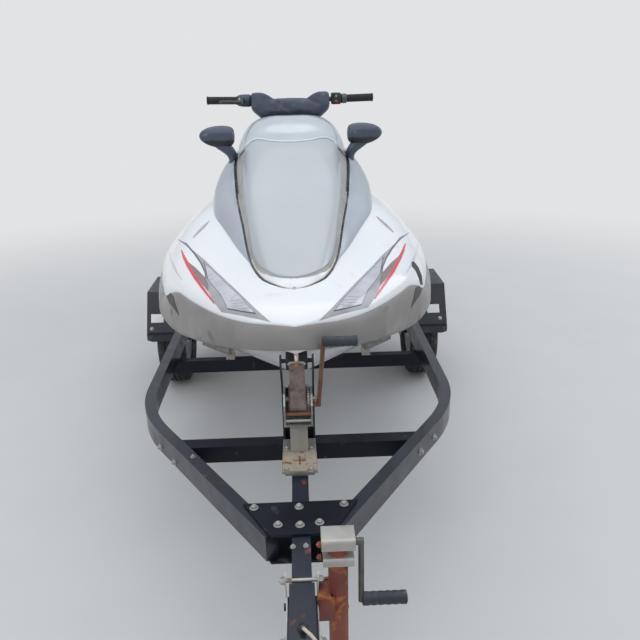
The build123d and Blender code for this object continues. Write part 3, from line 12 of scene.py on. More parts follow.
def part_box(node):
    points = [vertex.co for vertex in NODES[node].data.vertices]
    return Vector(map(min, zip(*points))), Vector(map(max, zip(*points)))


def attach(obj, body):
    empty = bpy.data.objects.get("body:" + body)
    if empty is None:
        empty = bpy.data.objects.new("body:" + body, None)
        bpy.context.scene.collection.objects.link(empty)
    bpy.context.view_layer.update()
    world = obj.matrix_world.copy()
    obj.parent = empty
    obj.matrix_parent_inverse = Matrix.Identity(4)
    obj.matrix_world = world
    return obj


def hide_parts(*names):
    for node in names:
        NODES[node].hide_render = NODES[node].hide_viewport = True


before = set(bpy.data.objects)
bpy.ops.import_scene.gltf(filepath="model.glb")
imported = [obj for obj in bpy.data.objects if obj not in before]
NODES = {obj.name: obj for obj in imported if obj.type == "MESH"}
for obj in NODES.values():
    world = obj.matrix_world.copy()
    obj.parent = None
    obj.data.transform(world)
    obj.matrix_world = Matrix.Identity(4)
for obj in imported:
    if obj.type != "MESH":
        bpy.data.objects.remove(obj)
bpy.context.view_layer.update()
FIXED = "craft_on_trailer"
MM = 0.001
BOW_Y = -1.190
KEEL_Z = 0.450

# Camera, solved from the photograph's 640 pixel frame
PHOTO_SIDE = 640
FOCAL_PIXELS = 650
EYE = Vector((0.018, -2.92, 1.65))
PITCH = math.radians(20.3)
YAW = math.radians(1.78)
ROLL = math.radians(-1.19)
AHEAD = Vector((math.sin(YAW) * math.cos(PITCH), math.cos(YAW) * math.cos(PITCH), -math.sin(PITCH)))
LEVEL = Vector((math.cos(YAW), -math.sin(YAW), 0.0))
ABOVE = LEVEL.cross(AHEAD)
RIGHT = LEVEL * math.cos(ROLL) + ABOVE * math.sin(ROLL)
TOP = ABOVE * math.cos(ROLL) - LEVEL * math.sin(ROLL)


def spot(x, b, h):
    """A place given as x, the distance b aft of the bow's tip and the height h above the keel, in mm."""
    return Vector((x * MM, BOW_Y + b * MM, KEEL_Z + h * MM))


def trailer_spot(x, b, z):
    """A place given as x, the distance b aft of the bow's tip and the height z above the ground, in mm."""
    return Vector((x * MM, BOW_Y + b * MM, z * MM))


def show(name, data):
    """A new object in the scene."""
    thing = bpy.data.objects.new(name, data)
    bpy.context.scene.collection.objects.link(thing)
    return thing


def set_camera():
    data = bpy.data.cameras.new("photo_camera")
    data.sensor_fit = "HORIZONTAL"
    data.lens = data.sensor_width * FOCAL_PIXELS / PHOTO_SIDE
    data.clip_start = 0.01
    camera = show("photo_camera", data)
    turn = Matrix((RIGHT, TOP, -AHEAD)).transposed().to_4x4()
    camera.matrix_world = Matrix.Translation(EYE) @ turn
    bpy.context.scene.camera = camera


def sight(px, py):
    """The direction in which the camera sees a pixel of the photograph's frame."""
    half = PHOTO_SIDE / 2
    return (AHEAD + RIGHT * ((px - half) / FOCAL_PIXELS) - TOP * ((py - half) / FOCAL_PIXELS)).normalized()


# Light and stage

PALE = (0.76, 0.77, 0.78, 1)
FILL = (0.86, 0.90, 0.96, 1)
FILL_STRENGTH = 0.66
FLOOR_TONES = ((0.60, 0.60, 0.595, 1), (0.64, 0.64, 0.635, 1))
FLOOR_HALF = 40.0
GLOW_FROM, GLOW_TO = 1.9, 6.5
SHOWN_RAYS = ("Is Camera Ray", "Is Glossy Ray", "Is Transmission Ray")

# Panels of light. Columns: name, place, aim, side, watts, colour
PANELS = [
    ("sky_panel", (0.0, -0.6, 5.5), (0, 0, 0.5), 8.0, 190, (0.94, 0.97, 1.0)),
    ("left_panel", (-5.0, -3.5, 3.2), (0, 0, 0.8), 3.0, 45, (1.0, 0.98, 0.95)),
    ("right_panel", (5.0, 1.5, 3.4), (0, 0, 0.8), 3.0, 40, (0.92, 0.96, 1.0)),
]


def add_node(tree, kind, values=(), links=(), **settings):
    """A shader node with its settings, the values of its inputs, and the outputs linked to them."""
    node = tree.nodes.new("ShaderNode" + kind)
    for key, value in settings.items():
        setattr(node, key, value)
    for key, value in dict(values).items():
        node.inputs[key].default_value = value
    for key, source in dict(links).items():
        tree.links.new(source, node.inputs[key])
    return node


def area_light(name, place, aim, side, watts, colour):
    data = bpy.data.lights.new(name, "AREA")
    data.shape = "RECTANGLE"
    data.size = data.size_y = side
    data.energy = watts
    data.color = colour
    lamp = show(name, data)
    lamp.location = place
    lamp.rotation_euler = (Vector(aim) - Vector(place)).to_track_quat("-Z", "Y").to_euler()


def light_scene():
    world = bpy.data.worlds.new("pale_studio")
    bpy.context.scene.world = world
    world.use_nodes = True
    tree = world.node_tree
    tree.nodes.clear()
    fill = add_node(tree, "Background", {"Color": FILL, "Strength": FILL_STRENGTH})
    shown = add_node(tree, "Background", {"Color": PALE, "Strength": 1.0})
    path = add_node(tree, "LightPath")
    mix = add_node(tree, "MixShader",
                   links={"Fac": path.outputs["Is Camera Ray"], 1: fill.outputs[0], 2: shown.outputs[0]})
    add_node(tree, "OutputWorld", links={"Surface": mix.outputs[0]})
    for panel in PANELS:
        area_light(*panel)


def shown_rays(tree):
    """One where the camera, a reflection or a refraction looks, so that these see the pale background."""
    path = add_node(tree, "LightPath")
    total = path.outputs[SHOWN_RAYS[0]]
    for kind in SHOWN_RAYS[1:]:
        total = add_node(tree, "Math", links={0: total, 1: path.outputs[kind]},
                         operation="MAXIMUM").outputs[0]
    return total


def stage_floor():
    """A pale matt floor that turns into the background's tone with the distance."""
    mesh = bpy.data.meshes.new("studio_floor")
    corners = [(x * FLOOR_HALF, y * FLOOR_HALF, 0) for x, y in ((-1, -1), (1, -1), (1, 1), (-1, 1))]
    mesh.from_pydata(corners, [], [(0, 1, 2, 3)])
    floor = show("studio_floor", mesh)
    material = bpy.data.materials.new("floor_pale")
    material.use_nodes = True
    tree = material.node_tree
    shader = tree.nodes["Principled BSDF"]
    shader.inputs["Roughness"].default_value = 0.9
    shader.inputs["Specular IOR Level"].default_value = 0.1
    coords = add_node(tree, "TexCoord").outputs["Object"]
    grain = add_node(tree, "TexNoise", {"Scale": 3.0}, {"Vector": coords})
    ramp = add_node(tree, "ValToRGB", links={"Fac": grain.outputs["Fac"]})
    for element, tone in zip(ramp.color_ramp.elements, FLOOR_TONES):
        element.color = tone
    tree.links.new(ramp.outputs["Color"], shader.inputs["Base Color"])
    glow = add_node(tree, "Emission", {"Color": PALE})
    far = add_node(tree, "VectorMath", links={0: coords}, operation="LENGTH")
    share = add_node(tree, "MapRange", {"From Min": GLOW_FROM, "From Max": GLOW_TO},
                     {"Value": far.outputs["Value"]}, interpolation_type="SMOOTHSTEP")
    mask = add_node(tree, "Math", links={0: share.outputs["Result"], 1: shown_rays(tree)},
                    operation="MULTIPLY")
    mix = add_node(tree, "MixShader",
                   links={"Fac": mask.outputs[0], 1: shader.outputs[0], 2: glow.outputs[0]})
    tree.links.new(mix.outputs[0], tree.nodes["Material Output"].inputs["Surface"])
    floor.data.materials.append(material)


# Materials

COAT_ROUGHNESS = 0.08
MARKS_SOFT = (0.04, 0.06)
WORN_FROM, WORN_TO = 0.52, 0.60
RUST = (0.24, 0.09, 0.04)
DUST = (0.30, 0.28, 0.25)


def noise_node(tree, coords, scale, detail, distortion=0.0):
    values = {"Scale": scale, "Detail": detail, "Distortion": distortion}
    return add_node(tree, "TexNoise", values, {"Vector": coords}).outputs["Fac"]


def mix_node(tree, share, first, second):
    """Colour first, a socket, where share is 0, and second where it is 1."""
    return add_node(tree, "Mix", {"B": (*second, 1)}, {"Factor": share, "A": first},
                    data_type="RGBA").outputs["Result"]


def surface(name, colour, rough, metal=0.0, coat=0.0, clouds=(0.06, 6), marks=None, grain=None, wave=None,
            edge=None, specular=0.5):
    """A principled material: clouded colour, marks such as dirt or rust in patches, grain, and worn edges.

    clouds: spread and scale of the colour's variation. marks: colour, scale, share, then roughness and metal
    if they differ. grain: strength and scale of the relief. wave: scale, strength and direction of ribs or a
    weave, in its place. edge: the colour that shows on sharp convex edges.
    """
    material = bpy.data.materials.new(name)
    material.use_nodes = True
    tree = material.node_tree
    shader = tree.nodes["Principled BSDF"]
    for key, value in (("Coat Weight", coat), ("Coat Roughness", COAT_ROUGHNESS), ("Metallic", metal),
                       ("Specular IOR Level", specular)):
        shader.inputs[key].default_value = value
    coords = add_node(tree, "TexCoord").outputs["Object"]
    spread, scale = clouds
    ramp = add_node(tree, "ValToRGB", links={"Fac": noise_node(tree, coords, scale, 2.0)})
    ramp.color_ramp.interpolation = "EASE"
    for element, place, factor in zip(ramp.color_ramp.elements, (0.3, 0.7), (1 - spread, 1 + spread)):
        element.position = place
        element.color = (*(min(c * factor, 1.0) for c in colour), 1)
    tone = ramp.outputs["Color"]
    values = {"From Min": 0.3, "From Max": 0.7, "To Min": max(rough - 0.05, 0.02),
              "To Max": min(rough + 0.07, 1.0)}
    roughness = add_node(tree, "MapRange", values, {"Value": noise_node(tree, coords, scale * 3, 1.0)},
                         interpolation_type="SMOOTHSTEP").outputs["Result"]
    if marks:
        marks_colour, marks_scale, marks_share, *others = marks
        centre = 0.72 - 0.35 * marks_share
        values = {"From Min": centre - MARKS_SOFT[0], "From Max": centre + MARKS_SOFT[1]}
        field = noise_node(tree, coords, marks_scale, 8.0, 0.4)
        share = add_node(tree, "MapRange", values, {"Value": field}).outputs["Result"]
        tone = mix_node(tree, share, tone, marks_colour)
        if others:
            roughness = add_node(tree, "MapRange", {"To Max": others[0]},
                                 {"Value": share, "To Min": roughness}).outputs["Result"]
        if len(others) > 1:
            blend = add_node(tree, "MapRange", {"To Min": metal, "To Max": others[1]}, {"Value": share})
            tree.links.new(blend.outputs["Result"], shader.inputs["Metallic"])
    if edge:
        geometry = add_node(tree, "NewGeometry")
        worn = add_node(tree, "MapRange", {"From Min": WORN_FROM, "From Max": WORN_TO},
                        {"Value": geometry.outputs["Pointiness"]})
        tone = mix_node(tree, worn.outputs["Result"], tone, edge)
    tree.links.new(tone, shader.inputs["Base Color"])
    tree.links.new(roughness, shader.inputs["Roughness"])
    if wave:
        ribs = add_node(tree, "TexWave", {"Scale": wave[0]}, {"Vector": coords}, bands_direction=wave[2])
        height, strength = ribs.outputs["Fac"], wave[1]
    elif grain:
        height, strength = noise_node(tree, coords, grain[1], 3.0), grain[0]
    if wave or grain:
        relief = add_node(tree, "Bump", {"Strength": strength, "Distance": 0.001}, {"Height": height})
        tree.links.new(relief.outputs["Normal"], shader.inputs["Normal"])
    return material


LOOK_TABLE = {
    "gelcoat": dict(colour=(0.83, 0.85, 0.87), rough=0.16, coat=0.5, clouds=(0.015, 3),
        marks=((0.74, 0.72, 0.66), 9, 0.12), grain=(0.02, 60)),
    "silver": dict(colour=(0.46, 0.49, 0.515), rough=0.34, metal=0.2, coat=0.45, clouds=(0.04, 2.2)),
    "visor": dict(colour=(0.53, 0.575, 0.60), rough=0.16, metal=0.15, coat=0.8, clouds=(0.04, 3)),
    "cover": dict(colour=(0.41, 0.45, 0.50), rough=0.34, metal=0.15, coat=0.45, clouds=(0.06, 4)),
    "taupe": dict(colour=(0.39, 0.385, 0.37), rough=0.42, clouds=(0.08, 12), marks=(DUST, 22, 0.2),
        grain=(0.05, 300)),
    "bumper": dict(colour=(0.255, 0.24, 0.23), rough=0.42, clouds=(0.16, 5),
        marks=((0.16, 0.15, 0.142), 9, 0.20, 0.6), grain=(0.16, 120)),
    "rub_grey": dict(colour=(0.32, 0.33, 0.34), rough=0.5, clouds=(0.08, 8),
        marks=((0.42, 0.41, 0.39), 22, 0.2), grain=(0.1, 300)),
    "trim_black": dict(colour=(0.022, 0.023, 0.026), rough=0.5, clouds=(0.2, 6),
        marks=((0.06, 0.058, 0.055), 22, 0.25), grain=(0.25, 900)),
    "pad": dict(colour=(0.052, 0.068, 0.10), rough=0.5, clouds=(0.10, 14),
        marks=((0.10, 0.11, 0.13), 30, 0.2), grain=(0.35, 700)),
    "mirror_shell": dict(colour=(0.05, 0.065, 0.10), rough=0.34, coat=0.3, clouds=(0.08, 6),
        marks=((0.11, 0.12, 0.14), 35, 0.18), grain=(0.05, 300)),
    "grip": dict(colour=(0.018, 0.018, 0.02), rough=0.65, clouds=(0.15, 6), wave=(90, 0.9, "X")),
    "bar_black": dict(colour=(0.02, 0.02, 0.022), rough=0.35, coat=0.2, grain=(0.06, 300),
        edge=(0.10, 0.10, 0.11)),
    "seat_dark": dict(colour=(0.065, 0.07, 0.085), rough=0.52, clouds=(0.08, 10),
        marks=((0.10, 0.10, 0.105), 22, 0.2), grain=(0.45, 420)),
    "thread": dict(colour=(0.42, 0.43, 0.45), rough=0.7, wave=(260, 0.8, "Y")),
    "mat": dict(colour=(0.075, 0.078, 0.085), rough=0.8, clouds=(0.12, 20),
        marks=((0.14, 0.13, 0.12), 22, 0.25), wave=(55, 1.0, "Y")),
    "frame_paint": dict(colour=(0.015, 0.018, 0.029), rough=0.34, coat=0.28, clouds=(0.22, 5),
        marks=((0.075, 0.072, 0.07), 26, 0.12, 0.6), grain=(0.05, 240)),
    "drawbar_paint": dict(colour=(0.014, 0.018, 0.032), rough=0.34, coat=0.12, clouds=(0.25, 7),
        marks=((0.17, 0.05, 0.035), 24, 0.20, 0.75), grain=(0.12, 200)),
    "plate_paint": dict(colour=(0.008, 0.010, 0.017), rough=0.40, clouds=(0.22, 6),
        marks=((0.075, 0.072, 0.07), 26, 0.10, 0.6), grain=(0.05, 240), specular=0.22),
    "fender_paint": dict(colour=(0.020, 0.023, 0.030), rough=0.36, clouds=(0.2, 8),
        marks=((0.09, 0.088, 0.085), 22, 0.16, 0.7), grain=(0.05, 300)),
    "zinc": dict(colour=(0.46, 0.455, 0.43), rough=0.38, metal=0.8, clouds=(0.10, 30),
        marks=(RUST, 34, 0.16, 0.8, 0.1), grain=(0.12, 300)),
    "old_zinc": dict(colour=(0.42, 0.39, 0.34), rough=0.48, metal=0.6, clouds=(0.14, 24),
        marks=(RUST, 26, 0.42, 0.85, 0.05), grain=(0.25, 300)),
    "rust_red": dict(colour=(0.20, 0.052, 0.034), rough=0.6, clouds=(0.2, 14),
        marks=((0.46, 0.17, 0.045), 24, 0.34, 0.85), grain=(0.4, 260)),
    "rust_brown": dict(colour=(0.19, 0.085, 0.05), rough=0.75, clouds=(0.25, 30),
        marks=((0.34, 0.14, 0.06), 22, 0.4), grain=(0.45, 320)),
    "copper": dict(colour=(0.22, 0.095, 0.06), rough=0.5, metal=0.3, clouds=(0.2, 30),
        marks=(RUST, 22, 0.4), grain=(0.2, 300)),
    "steel": dict(colour=(0.45, 0.46, 0.47), rough=0.34, metal=0.9, clouds=(0.08, 20), grain=(0.06, 300)),
    "polished": dict(colour=(0.66, 0.67, 0.68), rough=0.16, metal=1.0, clouds=(0.04, 30)),
    "cast_alloy": dict(colour=(0.36, 0.37, 0.39), rough=0.42, metal=0.8, clouds=(0.12, 40),
        marks=((0.22, 0.22, 0.23), 22, 0.3), grain=(0.3, 500)),
    "rim_paint": dict(colour=(0.48, 0.49, 0.50), rough=0.35, metal=0.5, coat=0.3, clouds=(0.06, 6),
        marks=((0.20, 0.15, 0.11), 30, 0.2, 0.8)),
    "tyre": dict(colour=(0.022, 0.022, 0.023), rough=0.72, clouds=(0.2, 12),
        marks=((0.10, 0.09, 0.078), 18, 0.34), grain=(0.25, 500)),
    "rubber": dict(colour=(0.03, 0.03, 0.032), rough=0.6, clouds=(0.2, 6),
        marks=((0.09, 0.085, 0.08), 22, 0.3), grain=(0.2, 300)),
    "carpet": dict(colour=(0.30, 0.285, 0.27), rough=0.95, clouds=(0.25, 60),
        marks=((0.32, 0.28, 0.24), 50, 0.4), grain=(1.0, 900)),
    "strap": dict(colour=(0.33, 0.26, 0.245), rough=0.85, clouds=(0.2, 30),
        marks=((0.16, 0.13, 0.11), 22, 0.35), wave=(260, 0.8, "Z")),
    "hook_orange": dict(colour=(0.60, 0.17, 0.04), rough=0.5, clouds=(0.2, 6), marks=(RUST, 22, 0.4)),
    "cable": dict(colour=(0.55, 0.50, 0.42), rough=0.5, clouds=(0.08, 40),
        marks=((0.35, 0.31, 0.26), 22, 0.3), grain=(0.1, 300)),
    "plug_black": dict(colour=(0.025, 0.025, 0.027), rough=0.45, marks=(DUST, 22, 0.2), grain=(0.1, 300)),
    "lens_red": dict(colour=(0.42, 0.012, 0.010), rough=0.14, coat=0.7, clouds=(0.08, 6),
        wave=(60, 0.35, "X")),
    "reflector": dict(colour=(0.78, 0.78, 0.76), rough=0.2, coat=0.6, clouds=(0.04, 6),
        wave=(120, 0.4, "Z")),
    "stripe_red": dict(colour=(0.72, 0.045, 0.07), rough=0.2, coat=0.6, clouds=(0.08, 40)),
    "insert_grey": dict(colour=(0.36, 0.36, 0.375), rough=0.34, coat=0.6, clouds=(0.08, 16)),
    "insert_lilac": dict(colour=(0.52, 0.52, 0.57), rough=0.14, coat=0.9, clouds=(0.10, 12),
        marks=((0.40, 0.40, 0.45), 18, 0.3)),
    "sliver": dict(colour=(0.22, 0.185, 0.185), rough=0.34, coat=0.4, clouds=(0.08, 6)),
    # Beige painted light over the shade in the hood's gap at the nose
    "gap_light_beige": dict(colour=(0.60, 0.555, 0.50), rough=0.6, clouds=(0.05, 12)),
    "crank_grip": dict(colour=(0.028, 0.032, 0.045), rough=0.5, clouds=(0.25, 18),
        marks=((0.10, 0.10, 0.11), 40, 0.3), grain=(0.3, 300)),
    "cap_zinc": dict(colour=(0.44, 0.43, 0.40), rough=0.4, metal=0.55, clouds=(0.07, 20),
        marks=((0.50, 0.46, 0.38), 30, 0.25, 0.6), grain=(0.06, 300)),
    "plate_beige": dict(colour=(0.46, 0.40, 0.31), rough=0.55, metal=0.3, clouds=(0.12, 24),
        marks=(RUST, 34, 0.30, 0.85, 0.05), grain=(0.2, 300)),
    "dull_steel": dict(colour=(0.12, 0.12, 0.11), rough=0.5, metal=0.5, clouds=(0.2, 24),
        marks=(RUST, 22, 0.2, 0.8), grain=(0.15, 300)),
    # crease: a grey for painted shade along a crease in the deck's white
    "crease": dict(colour=(0.60, 0.61, 0.62), rough=0.19, coat=0.4, clouds=(0.06, 6)),
    # A dark grey for painted shade in the bumper's notches
    "wedge_dark": dict(colour=(0.045, 0.045, 0.047), rough=0.5, clouds=(0.15, 6), grain=(0.1, 300)),
    "line_dark": dict(colour=(0.07, 0.07, 0.08), rough=0.34, coat=0.4, clouds=(0.1, 6)),
    "display": dict(colour=(0.02, 0.03, 0.03), rough=0.08, coat=0.8, clouds=(0.1, 6)),
    "green": dict(colour=(0.02, 0.42, 0.13), rough=0.4, clouds=(0.08, 6)),
    "red_key": dict(colour=(0.5, 0.02, 0.02), rough=0.4, clouds=(0.08, 6)),
    "mirror_glass": dict(colour=(0.78, 0.80, 0.82), rough=0.03, metal=1.0, clouds=(0.01, 6)),
}


# Mesh tools

FINE, FINER = 0.00002, 0.00001


def add_piece(name, mesh, look, body=FIXED, smooth=35, replaces=(), slot=None, merge=0.00005):
    """Links a mesh as a piece of the object, smooth up to an angle, and lets it ride on a body.

    A list of meshes is joined, and its points that fall together are merged.
    """
    if isinstance(mesh, list):
        mesh = tidy(join_meshes(name, mesh), merge)
    piece = show(name, mesh)
    for material in (look if isinstance(look, list) else [look]):
        mesh.materials.append(LOOKS[material])
    mesh.shade_smooth()
    mesh.set_sharp_from_angle(angle=math.radians(smooth))
    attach(piece, body)
    if replaces:
        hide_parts(*replaces)
    return piece


def edited(mesh, edit):
    """The mesh after a bmesh edit."""
    work = bmesh.new()
    work.from_mesh(mesh)
    edit(work)
    work.to_mesh(mesh)
    work.free()
    return mesh


def grid_mesh(name, rows, ring=False, caps=False, flip=False, paint=None):
    """A mesh from rows of points. ring joins each row's ends, caps closes the first and last row.

    paint(row, column) gives a face's material index.
    """
    count = len(rows[0])
    points = [p for row in rows for p in row]
    faces, kinds = [], []
    for i in range(len(rows) - 1):
        for j in range(count if ring else count - 1):
            k = (j + 1) % count
            face = (i * count + j, i * count + k, (i + 1) * count + k, (i + 1) * count + j)
            faces.append(face[::-1] if flip else face)
            kinds.append(paint(i, j) if paint else 0)
    if caps:
        first = tuple(range(count))
        end = tuple((len(rows) - 1) * count + j for j in range(count))
        faces += [first if flip else first[::-1], end[::-1] if flip else end]
        kinds += [0, 0]
    mesh = bpy.data.meshes.new(name)
    mesh.from_pydata(points, [], faces)
    for polygon, kind in zip(mesh.polygons, kinds):
        polygon.material_index = kind
    return mesh


def tidy(mesh, merge=0.00005):
    """Joins points that fall together and turns all faces outward."""
    def clean(work):
        bmesh.ops.remove_doubles(work, verts=work.verts, dist=merge)
        bmesh.ops.dissolve_degenerate(work, edges=work.edges, dist=merge)
        bmesh.ops.recalc_face_normals(work, faces=work.faces)
    return edited(mesh, clean)


def solid_mesh(name, rows):
    """A closed form through rings of points."""
    return tidy(grid_mesh(name, rows, ring=True, caps=True))


def both_sides(mesh):
    """Adds the starboard mirror image of a port mesh."""
    def mirror(work):
        copy = bmesh.ops.duplicate(work, geom=work.verts[:] + work.edges[:] + work.faces[:])["geom"]
        for vert in [g for g in copy if isinstance(g, bmesh.types.BMVert)]:
            vert.co.x = -vert.co.x
        bmesh.ops.reverse_faces(work, faces=[g for g in copy if isinstance(g, bmesh.types.BMFace)])
    return edited(mesh, mirror)


def mirrored(points):
    """The starboard images of points, last first."""
    return [Vector((-p.x, p.y, p.z)) for p in reversed(points)]


def face_up(mesh):
    if sum(p.normal.z for p in mesh.polygons) < 0:
        mesh.flip_normals()


def join_meshes(name, meshes):
    """One mesh from several, their material indices kept."""
    work = bmesh.new()
    for mesh in meshes:
        work.from_mesh(mesh)
    out = bpy.data.meshes.new(name)
    work.to_mesh(out)
    work.free()
    return out


def with_modifiers(mesh, *steps):
    """The mesh after modifiers. steps: (type, {property: value})."""
    carrier = show("carrier", mesh)
    for kind, values in steps:
        modifier = carrier.modifiers.new(kind, kind)
        for key, value in values.items():
            setattr(modifier, key, value)
    deps = bpy.context.evaluated_depsgraph_get()
    out = bpy.data.meshes.new_from_object(carrier.evaluated_get(deps))
    bpy.data.objects.remove(carrier)
    return out


def thicken(mesh, thickness, offset=-1.0):
    return with_modifiers(mesh, ("SOLIDIFY", {"thickness": thickness, "offset": offset}))


def subdivided(mesh):
    return with_modifiers(mesh, ("SUBSURF", {"levels": 1}))


def box_mesh(name, low, high, bevel=0.0, segments=2):
    work = bmesh.new()
    bmesh.ops.create_cube(work, size=1.0)
    for vert in work.verts:
        vert.co = Vector([low[i] + (vert.co[i] + 0.5) * (high[i] - low[i]) for i in range(3)])
    if bevel:
        bmesh.ops.bevel(work, geom=work.edges[:], offset=bevel, segments=segments, affect="EDGES",
                        profile=0.6)
    mesh = bpy.data.meshes.new(name)
    work.to_mesh(mesh)
    work.free()
    return mesh


def angles(count):
    return [2 * math.pi * k / count for k in range(count)]


def circle(centre, side, other, radius, count):
    return [centre + (side * math.cos(a) + other * math.sin(a)) * radius for a in angles(count)]


def frame_along(axis):
    """Two unit vectors square to axis and to each other."""
    axis = axis.normalized()
    side = axis.orthogonal().normalized()
    return side, axis.cross(side)


def turned_mesh(name, start, end, profile, sides=24):
    """A turned shape from start to end. profile: (share of the length, radius in metres)."""
    axis = end - start
    side, other = frame_along(axis)
    rows = [circle(start + axis * share, side, other, radius, sides) for share, radius in profile]
    return grid_mesh(name, rows, ring=True, caps=True)


def tube_mesh(name, points, radius, sides=12, caps=True):
    """A tube along points, its section carried without twist."""
    last = len(points) - 1
    tangents = [(points[min(i + 1, last)] - points[max(i - 1, 0)]).normalized() for i in range(len(points))]
    side, _ = frame_along(tangents[0])
    rows = []
    for i, (point, tangent) in enumerate(zip(points, tangents)):
        side = (side - tangent * side.dot(tangent)).normalized()
        rows.append(circle(point, side, tangent.cross(side),
                           radius[i] if isinstance(radius, list) else radius, sides))
    return grid_mesh(name, rows, ring=True, caps=caps)


def bolt_mesh(places, across, washer, height):
    """Hex heads on washers. places: (centre on the surface, outward direction)."""
    parts = []
    for centre, out in places:
        centre, out = Vector(centre), Vector(out).normalized()
        corner = across / 2 * 1.12
        # Columns: name, start and end along out, profile, sides
        for name, low, high, profile, sides in (
                ("washer", -0.0005, 0.002, [(0, washer), (0.8, washer), (1, washer * 0.94)], 20),
                ("head", 0.0018, 0.002 + height, [(0, corner), (0.85, corner), (1, across / 2 * 0.9)], 6),
                ("stud", 0.002 + height * 0.9, 0.005 + height,
                 [(0, across * 0.28), (0.7, across * 0.28), (1, across * 0.18)], 12)):
            parts.append(turned_mesh(name, centre + out * low, centre + out * high, profile, sides))
    return join_meshes("bolts", parts)


# Smooth tables and curves

def hermite(t, p, start, q, end):
    """A point of the cubic from p to q whose slopes there are start and end."""
    return ((1 + 2 * t) * (1 - t) ** 2 * p + t * (1 - t) ** 2 * start
            + t * t * (3 - 2 * t) * q + t * t * (t - 1) * end)


def smooth_table(columns, rows):
    """A function that gives the table's columns at any b, on curves that keep level where the rows do."""
    data = np.array(rows, float)
    places = data[:, 0]
    step = np.diff(places)
    tangents = []
    for column in data.T:
        rise = np.diff(column) / step
        tangent = np.zeros(len(places))
        tangent[0], tangent[-1] = rise[0], rise[-1]
        for k in range(1, len(places) - 1):
            if rise[k - 1] * rise[k] > 0:
                w0, w1 = 2 * step[k] + step[k - 1], step[k] + 2 * step[k - 1]
                tangent[k] = (w0 + w1) / (w0 / rise[k - 1] + w1 / rise[k])
        tangents.append(tangent)

    def value(b):
        b = min(max(b, places[0]), places[-1])
        k = min(int(np.searchsorted(places, b, side="right")) - 1, len(places) - 2)
        h = step[k]
        t = (b - places[k]) / h
        return {name: float(hermite(t, column[k], h * tangent[k], column[k + 1], h * tangent[k + 1]))
                for name, column, tangent in zip(columns, data.T, tangents)}
    return value


def smooth_step(value, low, high):
    t = min(max((value - low) / (high - low), 0.0), 1.0)
    return t * t * (3 - 2 * t)


def hermite_line(points, starts, steps):
    """A curve through 2-D points with given unit directions, steps points to each run."""
    out = []
    for p, q, start, end, count in zip(points, points[1:], starts, starts[1:], steps):
        p, q = np.array(p, float), np.array(q, float)
        length = np.linalg.norm(q - p)
        out += [hermite(j / count, p, np.array(start) * length, q, np.array(end) * length)
                for j in range(count)]
    out.append(np.array(points[-1], float))
    return out


def unit(p, q):
    v = np.array(q, float) - np.array(p, float)
    return v / max(np.linalg.norm(v), 1e-9)


def middle_direction(p, q, r):
    v = unit(p, q) + unit(q, r)
    return v / max(np.linalg.norm(v), 1e-9)


def table_value(table, b):
    """A two-column table's value at b, in straight runs."""
    return float(np.interp(b, [r[0] for r in table], [r[1] for r in table]))


def surface_tree(mesh):
    work = bmesh.new()
    work.from_mesh(mesh)
    tree = BVHTree.FromBMesh(work)
    work.free()
    return tree


# The craft's body. Columns: b, keel h, chine x, chine h, gunwale x, band low h, band high h,
# shoulder x, shoulder h, deck edge x, deck edge h, deck middle h
BODY_COLUMNS = ("b", "keel", "chine_x", "chine_h", "beam", "band_low", "band_high",
                "shoulder_x", "shoulder_h", "edge_x", "edge_h", "middle")
BODY = [
    (18, 462, 1, 464, 3, 466, 534, 2.6, 534.5, 2, 535, 535.5),
    (26, 446, 14, 452, 36, 462, 536, 34, 540, 22, 543, 545),
    (80, 432, 48, 444, 136, 446, 528, 126, 545, 88, 564, 572),
    (180, 384, 112, 410, 234, 420, 519, 218, 548, 140, 580, 592),
    (340, 262, 205, 345, 344, 384, 515, 308, 566, 180, 604, 618),
    (420, 210.8, 247, 318.8, 393.5, 369.6, 518, 345.6, 576.4, 196.1, 616.5, 631.3),
    (500, 165, 285, 295, 438, 362, 497, 380, 586, 212, 630, 646),
    (560, 132.7, 309.8, 277, 468.2, 363.3, 468, 406.4, 591.9, 225.8, 641.4, 659.1),
    (620, 106, 332, 262, 492, 366, 452, 428, 596, 240, 654, 674),
    (800, 58, 388, 236, 530, 384, 448, 462, 600, 280, 698, 728),
    (980, 24, 428, 215, 558, 382, 446, 486, 594, 312, 728, 772),
    (1200, 8, 458, 203, 576, 378, 442, 500, 578, 312, 737, 790),
    (1420, 0, 478, 196, 588, 374, 438, 504, 550, 300, 720, 770),
    (1640, 0, 486, 192, 592, 371, 435, 510, 536, 290, 632, 642),
    (1900, 0, 490, 190, 592, 368, 433, 518, 524, 280, 550, 566),
    (2400, 0, 490, 190, 586, 363, 428, 518, 498, 280, 492, 500),
    (2850, 0, 484, 190, 568, 359, 423, 506, 462, 280, 452, 458),
    (3340, 0, 470, 190, 531, 355, 418, 488, 430, 280, 428, 434),
]
body_at = smooth_table(BODY_COLUMNS, BODY)
HULL_LENGTH = 3340
TIP_STOPS = [18, 19, 21, 23, 26]

# The cowl: side cover, hood seam and hood. Columns: b, cover foot x, h, seam x, h, brow x, h, hood middle h
COWL_COLUMNS = ("b", "foot_x", "foot_h", "seam_x", "seam_h", "brow_x", "brow_h", "middle")
COWL = [
    (213, 6, 575, 4, 588, 2, 590, 591),
    (218, 30, 575, 26, 592, 14, 597, 599),
    (242, 66, 575, 60, 597, 38, 610, 616),
    (290, 110, 580, 102, 606, 78, 628, 638),
    (410, 156, 600, 143, 626, 114, 670, 684),
    (600, 226, 632, 178, 704, 146, 742, 758),
    (900, 322, 702, 222, 796, 172, 876, 892),
    (1100, 338, 730, 237, 880, 176, 958, 977),
    (1300, 326, 738, 212, 925, 158, 1012, 1036),
    (1430, 290, 726, 200, 900, 140, 955, 975),
    (1560, 246, 700, 190, 850, 130, 880, 892),
]
cowl_at = smooth_table(COWL_COLUMNS, COWL)
HOOD_REAR_B = 1300
BORDER_DROP = 5.0

